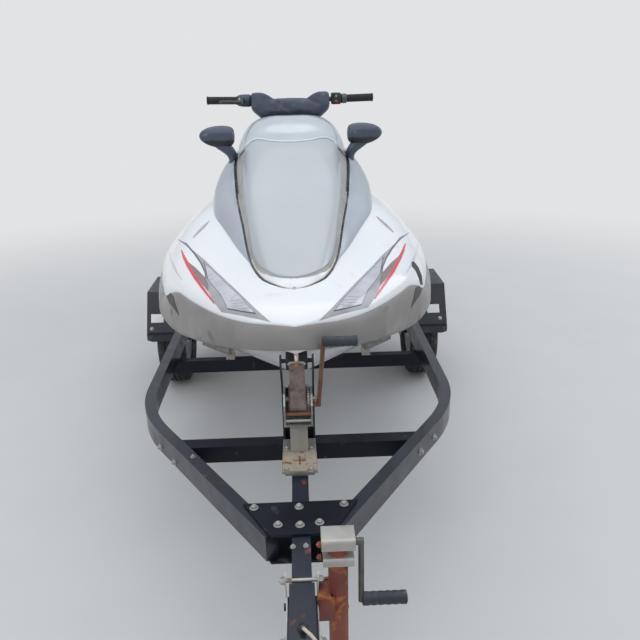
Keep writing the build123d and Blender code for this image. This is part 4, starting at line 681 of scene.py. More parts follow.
# Half width of the well under the hood. Columns: b, x
WELL = [(192, 4), (197, 25), (220, 58), (268, 101), (410, 148), (600, 184), (900, 228), (1100, 243),
        (1300, 218), (1345, 214)]
well_at = smooth_table(("b", "x"), WELL)

# Floors of the well under the hood and of the foot wells. Columns: b, h
WELL_FLOOR = [(160, 540), (264, 540), (300, 562), (410, 592), (600, 650), (900, 698), (1330, 730)]
FOOT_FLOOR = [(1562, 402), (1652, 312), (2840, 312), (2950, 437)]
FOOT_FRONT_B, FOOT_REAR_B = 1562, 2950
WELL_FRONT_B, WELL_REAR_B = (189, 193), (1326, 1332)
# Ahead of the well its columns run together at the tip. Behind it they turn into the saddle's
TIP_X, TIP_B = 4, (140, 190)
BLEND_B = (1340, 1480)
STORE_FRONT_B, STORE_REAR_B, STORE_FLOOR_H = 560, 1150, 500

# The saddle. Columns: b, top h, top half width
SADDLE_H, SADDLE_FOOT_H = 640, 418
SADDLE_FRONT_B, SADDLE_REAR_B = 1480, 2868
SADDLE = [(1480, 700, 175), (1690, SADDLE_H, 185), (2865, SADDLE_H, 178)]
# Its half width at the foot. Columns: b, x
SADDLE_FOOT = [(1480, 205), (2865, 198)]
# The rounding of its top edge: width and drop
SADDLE_ROUND, SADDLE_DROP = 8, 6
FAR_BELOW = -1e3
SEAT_PLACE = (1694, 2791)

# Columns of the deck's grid over the foot well: x, share of the way down from the surface to the floor
FOOT_COLUMNS = [(486, 0.0), (474, 0.0), (466, 0.0), (462, 0.015), (460, 0.06), (459, 0.3), (458, 0.8),
                (455, 0.93), (448, 0.985), (438, 1.0), (380, 1.0), (320, 1.0), (260, 1.0), (246, 1.0),
                (236, 0.985), (230, 0.93), (227, 0.8), (226, 0.3), (225, 0.06), (223, 0.015), (219, 0.0)]
FOOT_LOW_X, FOOT_HIGH_X = 219, 486
SADDLE_COLUMNS = [214, 208, 203, 198, 193, 189, 186, 182, 178, 168, 150, 110, 55, 0]
WELL_COLUMNS = [156, 152, 150, 148, 144, 110, 75, 35, 0]
WELL_RIM = (4, 1.0, 0, -0.6, -2.5)
WELL_WALL = (0.0, 0.02, 0.12, 0.9, 1.0)
RIM_POINTS = 14
FINE_STOPS = ((186, 200), (554, 566), (1144, 1156), (1322, 1336), (1554, 1572), (1688, 1700), (2783, 2797),
              (2942, 2958), (2860, 2874))


def deck_outer(s):
    """Deck section from the joint over the band and the shoulder to the middle, as (x, h)."""
    band, shoulder = (s["beam"], s["band_high"]), (s["shoulder_x"], s["shoulder_h"])
    edge, middle = (s["edge_x"], s["edge_h"]), (0.0, s["middle"])
    turns = [(0.25, 0.97) if s["b"] > 700 else (0.0, 1.0), middle_direction(band, shoulder, edge),
             middle_direction(shoulder, edge, middle), (-1.0, 0.0)]
    line = hermite_line([band, shoulder, edge, middle], turns, [10, 14, 14])
    return [np.array([s["beam"], (s["band_low"] + s["band_high"]) / 2])] + line


def deck_surface(line):
    """A function x -> h on a section's single-valued part."""
    xs, hs = [line[-1][0]], [line[-1][1]]
    for x, h in reversed(line[:-1]):
        if x > xs[-1]:
            xs.append(x)
            hs.append(h)
    return lambda x: float(np.interp(x, xs, hs))


def saddle_h(b, x):
    """Height of the saddle's flank or top at x, far below the deck outside it."""
    if b < SADDLE_FRONT_B or b > SADDLE_REAR_B:
        return FAR_BELOW
    places = [r[0] for r in SADDLE]
    top, top_x = (float(np.interp(b, places, [r[k] for r in SADDLE])) for k in (1, 2))
    low_x = table_value(SADDLE_FOOT, b)
    if x <= top_x - SADDLE_ROUND:
        return top
    if x <= top_x:
        across = (x - top_x + SADDLE_ROUND) / SADDLE_ROUND
        return top - SADDLE_DROP * (1 - math.sqrt(max(1 - across ** 2, 0.0)))
    share = (x - top_x) / (low_x - top_x)
    edge = top - SADDLE_DROP
    return edge - (edge - SADDLE_FOOT_H) * share if share <= 1.0 else FAR_BELOW


def deck_row(b):
    """The deck's section from the joint to the middle, with foot well, saddle and the well under the hood."""
    s = body_at(b)
    line = deck_outer(s)
    surf = deck_surface(line)
    blend = smooth_step(b, *BLEND_B)
    well = well_at(b)["x"]
    if b < TIP_B[1]:
        well = TIP_X + (0.4 * s["shoulder_x"] - TIP_X) * (1 - smooth_step(b, *TIP_B))
    low = (1 - blend) * min(well + 10, s["shoulder_x"] * 0.6) + blend * FOOT_LOW_X
    high = (1 - blend) * min(FOOT_HIGH_X, s["shoulder_x"] * 0.97) + blend * FOOT_HIGH_X
    rim = [p for p in line if p[0] > high + 2 or p is line[0]]
    places = range(len(rim))
    points = [tuple(float(np.interp(t, places, [p[k] for p in rim])) for k in (0, 1))
              for t in np.linspace(0, len(rim) - 1, RIM_POINTS)]
    foot = (smooth_step(b, FOOT_FRONT_B - 4, FOOT_FRONT_B + 6)
            - smooth_step(b, FOOT_REAR_B - 6, FOOT_REAR_B + 4))
    for x0, down in FOOT_COLUMNS:
        x = low + (x0 - FOOT_LOW_X) / (FOOT_HIGH_X - FOOT_LOW_X) * (high - low)
        h = surf(x)
        if foot > 0 and down > 0:
            h += (table_value(FOOT_FLOOR, b) - h) * down * foot
        points.append((x, h))
    open_share = smooth_step(b, *WELL_FRONT_B) - smooth_step(b, *WELL_REAR_B)
    store = (smooth_step(b, STORE_FRONT_B - 3, STORE_FRONT_B + 3)
             - smooth_step(b, STORE_REAR_B - 3, STORE_REAR_B + 3))
    shrink = min(1.0, 0.9 * well / WELL_COLUMNS[0])
    bow = [well + x for x in WELL_RIM] + [x * shrink for x in WELL_COLUMNS]
    for k, (x_bow, x_stern) in enumerate(zip(bow, SADDLE_COLUMNS)):
        x = (1 - blend) * min(x_bow, low) + blend * x_stern
        h = max(surf(x), saddle_h(b, x))
        if SEAT_PLACE[0] < b < SEAT_PLACE[1] and x < 190:
            h = min(h, SADDLE_H)
        if open_share > 0:
            floor = table_value(WELL_FLOOR, b)
            if store > 0 and k >= 7:
                floor += (STORE_FLOOR_H - floor) * store
            h += (floor - h) * (WELL_WALL[k] if k < len(WELL_WALL) else 1.0) * open_share
        points.append((x, h))
    return points


def deck_stops():
    stops = [b for low, high in FINE_STOPS for b in np.arange(low, high, 1.6)]
    stops += list(np.arange(20, 240, 10)) + list(np.arange(240, HULL_LENGTH, 24))
    stops += TIP_STOPS + [3337, HULL_LENGTH]
    stops = sorted(set(round(float(v), 2) for v in stops))
    return [v for i, v in enumerate(stops) if i == 0 or v - stops[i - 1] > 0.5]


def make_deck():
    rows = []
    for b in deck_stops():
        half = [spot(x, b, h) for x, h in deck_row(b)]
        rows.append(half + mirrored(half[:-1]))
    cap = bpy.data.meshes.new("deck_rear")
    cap.from_pydata(rows[-1], [], [tuple(range(len(rows[-1])))])
    return add_piece("deck_shell", [grid_mesh("deck_shell", rows, flip=True), cap], "gelcoat",
                     replaces=("deck",), slot="gelcoat_white", smooth=38)


# Cuts in the hull: behind the transom, round the pump and its duct. Columns: half width, outline as (b, h)
HULL_CUTS = [
    (700, [(3160, -60), (3400, -60), (3400, 335), (3160, 335)]),
    (135, [(3075, -60), (3175, -60), (3175, 335), (3075, 335)]),
    (135, [(2770, -60), (3170, -60), (3170, 250), (2770, 250)]),
    (110, [(2350, -30), (2775, -30), (2775, 231), (2710, 231), (2350, 40)]),
]
# Spray strakes. Columns: front b, rear b, inner x, width, depth
STRAKES = [(1050, 2300, 214, 22, 11), (1250, 2700, 330, 20, 9)]
# The hull's top lies under the deck and is left open up to the transom
OPEN_FROM_Z, OPEN_TO_Y = KEEL_Z + 0.30, BOW_Y + 3.33
BOTTOM_SHARES = (0, 0.03, 0.25, 0.5, 0.75, 0.93, 0.985)
SIDE_SHARES = (0.012, 0.05, 0.15, 0.3, 0.45, 0.6, 0.75, 0.9, 1.0)


def hull_row(b):
    """The hull's section from the keel over the chine and the sagging side to the joint, as (x, h)."""
    s = body_at(b)
    keel, chine, band = (0.0, s["keel"]), (s["chine_x"], s["chine_h"]), (s["beam"], s["band_low"])
    line = [(keel[0] + (chine[0] - keel[0]) * t, keel[1] + (chine[1] - keel[1]) * t) for t in BOTTOM_SHARES]
    line[0] = (0.0, s["keel"] + 0.004 * s["chine_x"])
    along = unit(chine, band)
    for t in SIDE_SHARES:
        push = -0.015 * s["beam"] * 4 * t * (1 - t)
        line.append((chine[0] + (band[0] - chine[0]) * t + along[1] * push,
                     chine[1] + (band[1] - chine[1]) * t - along[0] * push))
    return line + [(s["beam"], (s["band_low"] + s["band_high"]) / 2)]


def cut(mesh, tool):
    """The mesh less a closed tool."""
    carrier = show("tool", tidy(tool))
    out = with_modifiers(mesh, ("BOOLEAN", {"operation": "DIFFERENCE", "solver": "EXACT", "object": carrier}))
    bpy.data.objects.remove(carrier)
    return out


def open_top(work):
    top = [f for f in work.faces if f.normal.z > 0.9 and f.calc_center_median().z > OPEN_FROM_Z
           and f.calc_center_median().y < OPEN_TO_Y]
    bmesh.ops.delete(work, geom=top, context="FACES")


def make_strake(b0, b1, x0, wide, deep):
    rows = []
    for b in np.linspace(b0, b1, 30):
        s = body_at(b)
        slope = (s["chine_h"] - s["keel"]) / s["chine_x"]
        grow = smooth_step(b, b0, b0 + 260) - 0.6 * smooth_step(b, b1 - 60, b1)
        h0, h1 = s["keel"] + slope * x0, s["keel"] + slope * (x0 + wide)
        low = h1 - deep * grow
        rows.append([spot(x0, b, h0 + 2), spot(x0 + wide - 2, b, low), spot(x0 + wide, b, low + 1.5),
                     spot(x0 + wide, b, h1 + 3)])
    return both_sides(solid_mesh("strake", rows))


def make_hull():
    rows = []
    for b in TIP_STOPS + list(range(30, 240, 10)) + list(range(240, HULL_LENGTH, 26)) + [HULL_LENGTH]:
        half = [spot(x, b, h) for x, h in hull_row(b)]
        rows.append(mirrored(half) + half[1:])
    mesh = solid_mesh("hull_shell", rows)
    for half_wide, outline in HULL_CUTS:
        low, high = ([spot(x, b, h) for b, h in outline] for x in (-half_wide, half_wide))
        mesh = cut(mesh, grid_mesh("cutter", [low, high], ring=True, caps=True))
    mesh = join_meshes("hull_shell", [edited(mesh, open_top)] + [make_strake(*row) for row in STRAKES])
    return add_piece("hull_shell", mesh, "gelcoat", replaces=("hull",), slot="gelcoat_white", smooth=32)


# Hood, visor, covers and bumper

def section_normals(points):
    """Unit normals of a (x, h) line that runs from the outside to the middle, pointing out of the body."""
    out = []
    for i in range(len(points)):
        before, after = points[max(i - 1, 0)], points[min(i + 1, len(points) - 1)]
        dx, dh = after[0] - before[0], after[1] - before[1]
        length = max(math.hypot(dx, dh), 1e-9)
        out.append((dh / length, -dx / length))
    out[-1] = (0.0, 1.0)
    return out


def hood_line(b):
    """The hood's section from its seam to the middle, with the arc length of each point."""
    s = cowl_at(b)
    seam, brow, middle = (s["seam_x"], s["seam_h"]), (s["brow_x"], s["brow_h"]), (0.0, s["middle"])
    turns = [(-0.45, 0.89), middle_direction(seam, brow, middle), (-1.0, 0.0)]
    line = hermite_line([seam, brow, middle], turns, [14, 14])
    arc = [0.0]
    for p, q in zip(line, line[1:]):
        arc.append(arc[-1] + float(np.linalg.norm(q - p)))
    return line, arc


def hood_point(b, distance, out=0.0):
    """A point of the hood's skin, at an arc length from the seam, moved outward."""
    line, arc = hood_line(b)
    normals = section_normals(line)
    x, h, nx, nh = (float(np.interp(distance, arc, [v[k] for v in source]))
                    for source, k in ((line, 0), (line, 1), (normals, 0), (normals, 1)))
    return x + nx * out, h + nh * out


# How far in from the seam the hood's raised panel begins, along the skin. Columns: b, reach
PANEL_EDGE = [(244, 74), (250, 52), (264, 38), (282, 30), (342, 20), (480, 24), (690, 34), (855, 57),
              (1020, 74), (1300, 78)]
panel_edge_at = smooth_table(("b", "reach"), PANEL_EDGE)
RING, RING_AT_NOSE = 16.0, 12
NOSE_WHITE_B, NOSE_END_B = 330, 244.5
HOOD_SKIN, VISOR_SKIN = 0.008, 0.004
HOOD_STOPS = [213.5, 214, 215, 217, 220, 224, 230, 236, 240, 243, 244.5, 246, 248, 250, 253, 256, 260, 264,
              268, 273, 278, 284, 292, 302]
HOOD_STOPS += list(np.arange(318, HOOD_REAR_B - 2, 22)) + [HOOD_REAR_B - 1]


def hood_places(b):
    """The hood's section as (length from the seam, height over the skin): border, groove and panel."""
    full = hood_line(b)[1][-1]
    reach = min(panel_edge_at(b)["reach"], full) if b > 244 else full
    inner = max(reach - (RING if b > 300 else RING_AT_NOSE), 0.0)
    raised = smooth_step(full - reach, 0, 4)
    start = min(reach + 3, full)
    low = -BORDER_DROP
    places = [(0.0, low - 3), (min(2.0, inner), low), (inner * 0.5, low), (inner, low),
              (min(inner + 0.8, reach), low - 0.8), ((inner + reach) / 2, low - 0.6),
              (max(reach - 0.8, inner), low), (reach, low * (1 - 0.1 * raised)),
              (min(reach + 1, full), low * (1 - 0.85 * raised)), (start, low * (1 - raised))]
    return places + [(start + (full - start) * t, low * (1 - raised)) for t in np.linspace(0.07, 1, 15)]


def make_hood():
    """The hood: a raised silver panel in a lower border, white at the nose."""
    rows = []
    for b in HOOD_STOPS:
        half = [spot(x, b, h) for x, h in (hood_point(b, *place) for place in hood_places(b))]
        rows.append(half + mirrored(half[:-1]))
    wide = len(rows[0])

    def paint(i, j):
        column = min(j, wide - 2 - j)
        if HOOD_STOPS[i] < NOSE_END_B or (column < 3 and HOOD_STOPS[i] < NOSE_WHITE_B):
            return 2
        return 1 if column < 7 else 0
    mesh = tidy(grid_mesh("hood_panel", rows, paint=paint), FINE)
    face_up(mesh)
    return add_piece("hood_panel", thicken(mesh, HOOD_SKIN), ["silver", "taupe", "gelcoat"], body="hood",
                     replaces=("hood_lid",), slot="hood_silver", smooth=40)


# The strip in the hood's gap: beige painted light up to the first b, black painted shade from the second
SEAL_OUT, SEAL_R = 1.4, 3.0
GAP_LIGHT_END_B, GAP_SHADE_FROM_B = 420, 860


def make_hood_gap_strip():
    """A soft strip round the hood's rim, in the gap to the deck, its tones painted light and shade: beige at
    the nose, painted light over the gap's shade; taupe behind it; black along the sides, a painted shade
    line.
    """
    half = []
    for b in list(np.linspace(214, 290, 24)) + list(np.linspace(310, HOOD_REAR_B - 8, 44)):
        x, h = hood_point(b, 0.0, -BORDER_DROP - 1.5)
        half.append((x, b, h))
    points = []
    for k, (x, b, h) in enumerate(half):
        x0, b0, _ = half[max(k - 1, 0)]
        x1, b1, _ = half[min(k + 1, len(half) - 1)]
        run = math.hypot(x1 - x0, b1 - b0)
        points.append(spot(x + (b1 - b0) / run * SEAL_OUT, b - (x1 - x0) / run * SEAL_OUT, h))
    mesh = tidy(tube_mesh("hood_gap_strip", mirrored(points) + points, SEAL_R * MM, 10))
    for polygon in mesh.polygons:
        b = (polygon.center.y - BOW_Y) / MM
        polygon.material_index = 0 if b < GAP_LIGHT_END_B else (1 if b < GAP_SHADE_FROM_B else 2)
    return add_piece("hood_gap_strip", mesh, ["gap_light_beige", "taupe", "trim_black"], body="hood", slot="trim_black",
                     smooth=60)


VISOR_FRONT_B = 1052
VISOR_EDGE = 26
# The visor's front edge lies further back at its shoulders and corners. How far, place and width
VISOR_SHOULDER = (42, 0.62, 0.22)
VISOR_CORNER = 33
# Its height over the hood at the front, how much more at the rear, and less at its sides and its front lip
VISOR_LIFT, VISOR_RISE, VISOR_SIDE, VISOR_LIP = 3.5, 15, 2.5, 1.6


def make_visor():
    """The short screen on the hood's rear, standing off it more towards the rear."""
    dip, dip_at, dip_wide = VISOR_SHOULDER
    rows = []
    for u in np.linspace(-1, 1, 49):
        side = abs(u)
        front = VISOR_FRONT_B + dip * math.exp(-((side - dip_at) / dip_wide) ** 2)
        front += VISOR_CORNER * smooth_step(side, 0.8, 1.0)
        row = []
        for t in [0, 0.004, 0.015] + list(np.linspace(0.04, 1, 22)):
            b = front + (HOOD_REAR_B - 2 - front) * t
            distance = VISOR_EDGE + (hood_line(b)[1][-1] - VISOR_EDGE) * (1 - side)
            lift = VISOR_LIFT + VISOR_RISE * smooth_step(b, VISOR_FRONT_B, HOOD_REAR_B)
            lift -= VISOR_SIDE * smooth_step(side, 0.96, 1.0)
            lift -= VISOR_LIP * (1 - smooth_step(t, 0, 0.02))
            x, h = hood_point(b, distance, lift)
            row.append(spot(math.copysign(x, u) if side > 1e-6 else 0.0, b, h))
        rows.append(row)
    mesh = tidy(grid_mesh("visor", rows), FINER)
    face_up(mesh)
    return add_piece("visor", thicken(mesh, VISOR_SKIN), "visor", body="hood", replaces=("windscreen",),
                     slot="visor_silver", smooth=40)


COVER_FRONT_B, COVER_REAR_B = 380, 1560
COVER_GAP = 6.0
COVER_BULGE = 0.24


def make_covers():
    rows = []
    for b in list(np.arange(COVER_FRONT_B, COVER_REAR_B, 20)) + [COVER_REAR_B]:
        s = cowl_at(b)
        x0, h0 = s["seam_x"] + COVER_GAP, s["seam_h"]
        x1, h1 = max(s["foot_x"], x0 + 2), s["foot_h"]
        bulge = COVER_BULGE * (x1 - x0)
        line = [(x0 + 1, h0 - 16), (x0, h0 - 3), (x0 + 0.8, h0 - 0.6)]
        along = unit((x0, h0), (x1, h1))
        for t in np.linspace(0.03, 1, 18):
            push = 4 * t * (1 - t) * bulge
            line.append((x0 + (x1 - x0) * t - along[1] * push, h0 + (h1 - h0) * t + along[0] * push))
        line.append((x1 + 1, h1 - 45))
        rows.append([spot(x, b, h) for x, h in line])
    return add_piece("side_cover_shells", both_sides(solid_mesh("side_cover_shells", rows)), "cover",
                     replaces=("side_covers",), slot="cover_grey", smooth=40)


# The bumper's path in plan, as (x, b), and its section as (out, up), in shares of its thickness and height
BUMPER_PATH = [(0, 21), (36, 27), (90, 50), (136, 80), (234, 180), (344, 340), (438, 500), (492, 620),
               (505, 655)]
BAND_SECTION = [(-0.5, 0.04), (0.45, -0.012), (0.82, 0.05), (0.97, 0.2), (1.0, 0.38), (0.95, 0.56),
                (0.78, 0.76), (0.52, 0.93), (0.26, 1.0), (-0.5, 0.99)]
BAND_THICK = 22.0
BUMPER_STEPS, BUMPER_END_B, RAIL_START_B = 80, (640, 655), (655, 676)


def smooth_path(points, count):
    """Points along a smooth curve through given plan points, with outward normals."""
    data = np.array(points, float)
    steps = np.concatenate([[0], np.cumsum(np.linalg.norm(np.diff(data, axis=0), axis=1))])
    tangents = np.gradient(data, steps, axis=0)
    tangents[0] = (1.0, 0.0)
    out = []
    for d in np.linspace(0, steps[-1], count):
        k = min(int(np.searchsorted(steps, d, side="right")) - 1, len(steps) - 2)
        h = steps[k + 1] - steps[k]
        t = (d - steps[k]) / h
        q = ((6 * t * t - 6 * t) * data[k] + (3 * t * t - 4 * t + 1) * h * tangents[k]
             + (6 * t - 6 * t * t) * data[k + 1] + (3 * t * t - 2 * t) * h * tangents[k + 1]) / h
        q /= np.linalg.norm(q)
        out.append((hermite(t, data[k], h * tangents[k], data[k + 1], h * tangents[k + 1]),
                    np.array([q[1], -q[0]])))
    return out


def band_rows(path, shrink):
    """The band's sections along a path of (place, outward normal). shrink gives its size at b."""
    rows = []
    for p, out in path:
        s = body_at(p[1])
        scale = shrink(p[1])
        middle, tall = (s["band_low"] + s["band_high"]) / 2, s["band_high"] - s["band_low"]
        row = []
        for u, v in BAND_SECTION:
            reach = BAND_THICK * u * (scale if u > 0 else 1)
            row.append(spot(p[0] + out[0] * reach, p[1] + out[1] * reach,
                            middle + (v - 0.5) * tall * (0.55 + 0.45 * scale)))
        rows.append(row)
    return rows


def make_bumper():
    port = band_rows(smooth_path(BUMPER_PATH, BUMPER_STEPS),
                     lambda b: math.sqrt(max(1 - smooth_step(b, *BUMPER_END_B) ** 2 * 0.9, 0.05)))
    rows = [[Vector((-p.x, p.y, p.z)) for p in row] for row in reversed(port[1:])] + port
    return add_piece("bumper_shell", solid_mesh("bumper_shell", rows), "bumper", replaces=("bow_bumper",),
                     slot="bumper_grey", smooth=40)


def make_rub_rails():
    path = []
    for b in list(np.linspace(659, 720, 12)) + list(np.linspace(745, 3338, 70)):
        beam = body_at(b)["beam"]
        run = unit((beam, 0), (body_at(b + 2)["beam"], 2))
        path.append((np.array([beam, b]), np.array([run[1], -run[0]])))
    rows = band_rows(path, lambda b: math.sqrt(max(1 - (1 - smooth_step(b, *RAIL_START_B)) ** 2, 0.08)))
    return add_piece("rub_rails", both_sides(solid_mesh("rub_rails", rows)), "rub_grey",
                     replaces=("side_rub_rails",), slot="bumper_grey", smooth=40)


# Mirrors. Columns: x, half depth, half height, middle h
MIRROR_FORM = [(238, 6, 8, 984), (240, 17, 22, 984), (248, 28, 35, 983), (264, 33, 42, 982),
               (290, 35, 44.5, 982), (312, 34.5, 44, 982), (335, 31, 39.5, 983), (350, 28, 35, 984),
               (366, 21.5, 27, 984.5), (376, 16, 20, 985), (383, 9, 12, 985), (386, 3, 4, 985)]
MIRROR_STOPS = [238, 238.6, 239.6, 241, 244, 248] + list(range(254, 366, 7))
MIRROR_STOPS += [366, 371, 376, 380, 383, 385, 386]
MIRROR_B, MIRROR_DEEP, GLASS_LIFT = 1124.0, 14, 0.6
MIRROR_FOOT_Z, MIRROR_FOOT_Y = KEEL_Z + 0.968, BOW_Y + MIRROR_B * MM + 0.012
# The mirror's arm. Columns: x, b, h, half depth, half width
MIRROR_ARM = [(266, 1144, 838, 30, 15), (257, 1144, 862, 30, 15), (252, 1143, 884, 29, 16),
              (253, 1140, 901, 28, 21), (264, 1136, 917, 27, 29), (282, 1131, 934, 26, 37),
              (297, 1127, 952, 24, 40), (302, 1124, 970, 18, 30)]


def make_mirrors():
    form = smooth_table(("x", "deep", "tall", "h"), MIRROR_FORM)
    rows = []
    for x in MIRROR_STOPS:
        s = form(x)
        rows.append([spot(x, min(MIRROR_B - s["deep"] * math.cos(a), MIRROR_B + MIRROR_DEEP),
                          s["h"] + s["tall"] * math.sin(a)) for a in angles(40)])
    shell = solid_mesh("mirror_shell", rows)
    for polygon in shell.polygons:
        places = [shell.vertices[i].co for i in polygon.vertices]
        if (sum(p.z for p in places) / len(places) < MIRROR_FOOT_Z
                and sum(p.y for p in places) / len(places) < MIRROR_FOOT_Y):
            polygon.material_index = 1
    arm_rows = [[spot(x + wide * math.sin(a), b + deep * math.cos(a), h) for a in angles(24)]
                for x, b, h, deep, wide in MIRROR_ARM]
    arm = subdivided(solid_mesh("mirror_arm", arm_rows))
    add_piece("mirror_shells", both_sides(join_meshes("mirror_shells", [shell, arm])),
              ["mirror_shell", "trim_black"], replaces=("mirrors",), slot="mirror_shell", smooth=50)
    glass_rows = []
    for x in range(252, 374, 6):
        s = form(x)
        share = MIRROR_DEEP / max(s["deep"], MIRROR_DEEP + 0.01)
        reach = s["tall"] * math.sqrt(max(1 - share ** 2, 0.0)) * 0.9
        glass_rows.append([spot(x, MIRROR_B + MIRROR_DEEP + GLASS_LIFT, s["h"] + reach * v)
                           for v in np.linspace(-1, 1, 9)])
    glass = both_sides(tidy(thicken(grid_mesh("mirror_glass", glass_rows), 0.001, 1.0)))
    add_piece("mirror_glass", glass, "mirror_glass", slot="mirror_shell", smooth=20)


# Steering pad, seen from ahead. Columns: x, height above the bar's clamp
PAD_FORM = [(0, 36), (82, 34), (106, 48), (134, 57), (184, 54), (184, -16), (138, -56), (100, -62), (0, -62)]
# The pad's layers from front to back. Columns: depth, how far its outline moves in
PAD_LEVELS = [(0.0, 12), (3, 6), (9, 2.5), (20, 1), (48, 1), (59, 2.5), (65, 6), (68, 12)]
PAD_CORNER = 16
# Its front face, over this depth, is drawn in at the middle and fuller at its horns
PAD_FACE, PAD_SINK, PAD_HORN, PAD_HORN_X = 20, 5, 14, (72, 112)
STEER_TILT = math.radians(15.0)
BAR_B, BAR_H = 1450.0, 1088.0
PAD_AHEAD = 40.0


def on_column(x, up_bar, ahead):
    """A point by its height along the steering axis above the bar's clamp and its distance ahead of it."""
    b = BAR_B + up_bar * math.sin(STEER_TILT) - ahead * math.cos(STEER_TILT)
    h = BAR_H + up_bar * math.cos(STEER_TILT) + ahead * math.sin(STEER_TILT)
    return spot(x, b, h)


def corners(points):
    """Each corner of a closed outline with the one before and the one after it."""
    count = len(points)
    return [[np.array(points[(i + k) % count], float) for k in (-1, 0, 1)] for i in range(count)]


def inset_outline(points, inset):
    """A closed outline of 2-D points, clockwise seen with h up, moved inward."""
    out = []
    for p0, p1, p2 in corners(points):
        u, v = unit(p0, p1), unit(p1, p2)
        n = np.array([u[1] + v[1], -u[0] - v[0]])
        n /= max(np.linalg.norm(n), 1e-9)
        n /= max(float(n @ np.array([v[1], -v[0]])), 0.5)
        out.append(tuple(p1 + n * inset))
    return out


def round_outline(points, radius, steps):
    """A closed outline with its corners rounded."""
    out = []
    for p0, p1, p2 in corners(points):
        r = min(radius, np.linalg.norm(p0 - p1) * 0.45, np.linalg.norm(p2 - p1) * 0.45)
        start, end = p1 + unit(p1, p0) * r, p1 + unit(p1, p2) * r
        for t in (k / steps for k in range(steps + 1)):
            out.append(tuple(start * (1 - t) ** 2 + p1 * 2 * t * (1 - t) + end * t * t))
    return out


PUFF_FRAMES, PUFF_QUALITY, QUICK_COARSER = 20, 5, 1.4


def puff(mesh, pressure, cap, voxel):
    start = with_modifiers(mesh, ("REMESH", {"mode": "VOXEL", "voxel_size": voxel}))
    still = [v.co.copy() for v in start.vertices]
    carrier = show("carrier", start)
    cloth = carrier.modifiers.new("cloth", "CLOTH")
    cloth.settings.use_pressure = True
    cloth.settings.uniform_pressure_force = pressure
    cloth.settings.effector_weights.gravity = 0.0
    cloth.settings.quality = PUFF_QUALITY
    for number in range(1, PUFF_FRAMES + 1):
        bpy.context.scene.frame_set(number)
    deps = bpy.context.evaluated_depsgraph_get()
    out = bpy.data.meshes.new_from_object(carrier.evaluated_get(deps))
    bpy.data.objects.remove(carrier)
    bpy.context.scene.frame_set(1)
    for vert, place in zip(out.vertices, still):
        move = vert.co - place
        if move.length > cap:
            vert.co = place + move.normalized() * cap
    return with_modifiers(out, ("SMOOTH", {"factor": 0.5, "iterations": 3}), ("SUBSURF", {"levels": 1}))


def make_pad():
    ring = PAD_FORM + [(-x, y) for x, y in reversed(PAD_FORM[1:-1])]
    ring = round_outline(ring, PAD_CORNER, 5)
    rows = []
    for depth, inset in PAD_LEVELS:
        front = max(1 - depth / PAD_FACE, 0.0)
        row = []
        for x, y in inset_outline(ring, inset):
            fuller = front * (PAD_HORN * smooth_step(abs(x), *PAD_HORN_X) - PAD_SINK)
            row.append(on_column(x, y, PAD_AHEAD - depth + fuller))
        rows.append(row)
    mesh = puff(solid_mesh("pad_form", rows), 3.0, 0.006, 0.0045)
    piece = add_piece("pad_cover", mesh, "pad", body="steering", replaces=("steering_pad",),
                      slot="pad_blue_grey", smooth=60)


# Seats. Columns: b, half width at the base, half width at the top's edge, edge and middle above the saddle
FRONT_SEAT = [(1700, 120, 96, 95, 112), (1790, 165, 135, 130, 148), (1960, 180, 150, 122, 136),
              (2120, 182, 156, 132, 146), (2168, 182, 150, 160, 175)]
REAR_SEAT = [(2170, 182, 148, 172, 188), (2230, 182, 150, 182, 202), (2500, 180, 150, 175, 192),
             (2740, 174, 140, 182, 198), (2785, 166, 126, 150, 160)]
# A seat's sections. Columns: share of its length, how far the section moves in
SEAT_STOPS = ([(0.0, 16), (0.004, 9), (0.014, 4), (0.03, 2)] + [(t, 2) for t in np.linspace(0.06, 0.94, 26)]
              + [(0.97, 2), (0.986, 4), (0.996, 9), (1.0, 16)])


def seat_section(s, inset):
    """Half section of a seat from the base's middle round its flank to the top's middle, as (x, h)."""
    base = SADDLE_H + 1.0
    low = (s["low"] - 8 - inset, base)
    side = (s["low"] - inset, SADDLE_H + 34)
    edge = (s["top_x"] - inset, SADDLE_H + s["edge"] - inset)
    middle = (0.0, SADDLE_H + s["middle"] - inset)
    turns = [(0.2, 0.98), middle_direction(low, side, edge), middle_direction(side, edge, middle),
             (-1.0, 0.0)]
    line = hermite_line([low, side, edge, middle], turns, [3, 8, 12])
    return [(0.0, base), (low[0] * 0.5, base), (low[0] * 0.9, base)] + line


def make_seat(name, node, table, channels):
    at_b = smooth_table(("b", "low", "top_x", "edge", "middle"), table)
    b0, b1 = table[0][0], table[-1][0]
    rows = []
    for t, inset in SEAT_STOPS:
        b = b0 + 1 + (b1 - b0 - 2) * t
        points = [spot(x, b, h) for x, h in seat_section(at_b(b), inset)]
        rows.append(points + mirrored(points[1:-1]))
    mesh = puff(solid_mesh(name, rows), 4.0, 0.008, 0.008)
    for vert in mesh.vertices:
        vert.co.z = max(vert.co.z, KEEL_Z + (SADDLE_H + 0.6) * MM)
        vert.co.y = min(max(vert.co.y, BOW_Y + (b0 - 0.5) * MM), BOW_Y + (b1 + 0.5) * MM)
    piece = add_piece(name, mesh, "seat_dark", replaces=(node,), slot="seat_vinyl", smooth=60)
    press_channels(mesh, channels)
    return piece


# Seams and channels of the seats, whose lines across curve forward at their sides
CHANNEL_CURVE = 0.0009
CHANNEL_DEEP, CHANNEL_WIDE = 0.004, 0.006
FRONT_CHANNELS, REAR_CHANNELS = (1830, 1930, 2030), (2270, 2400, 2530, 2660)
PIPING_R, STITCH_R = 0.0026, 0.0012
ABOVE_SEATS = 1200


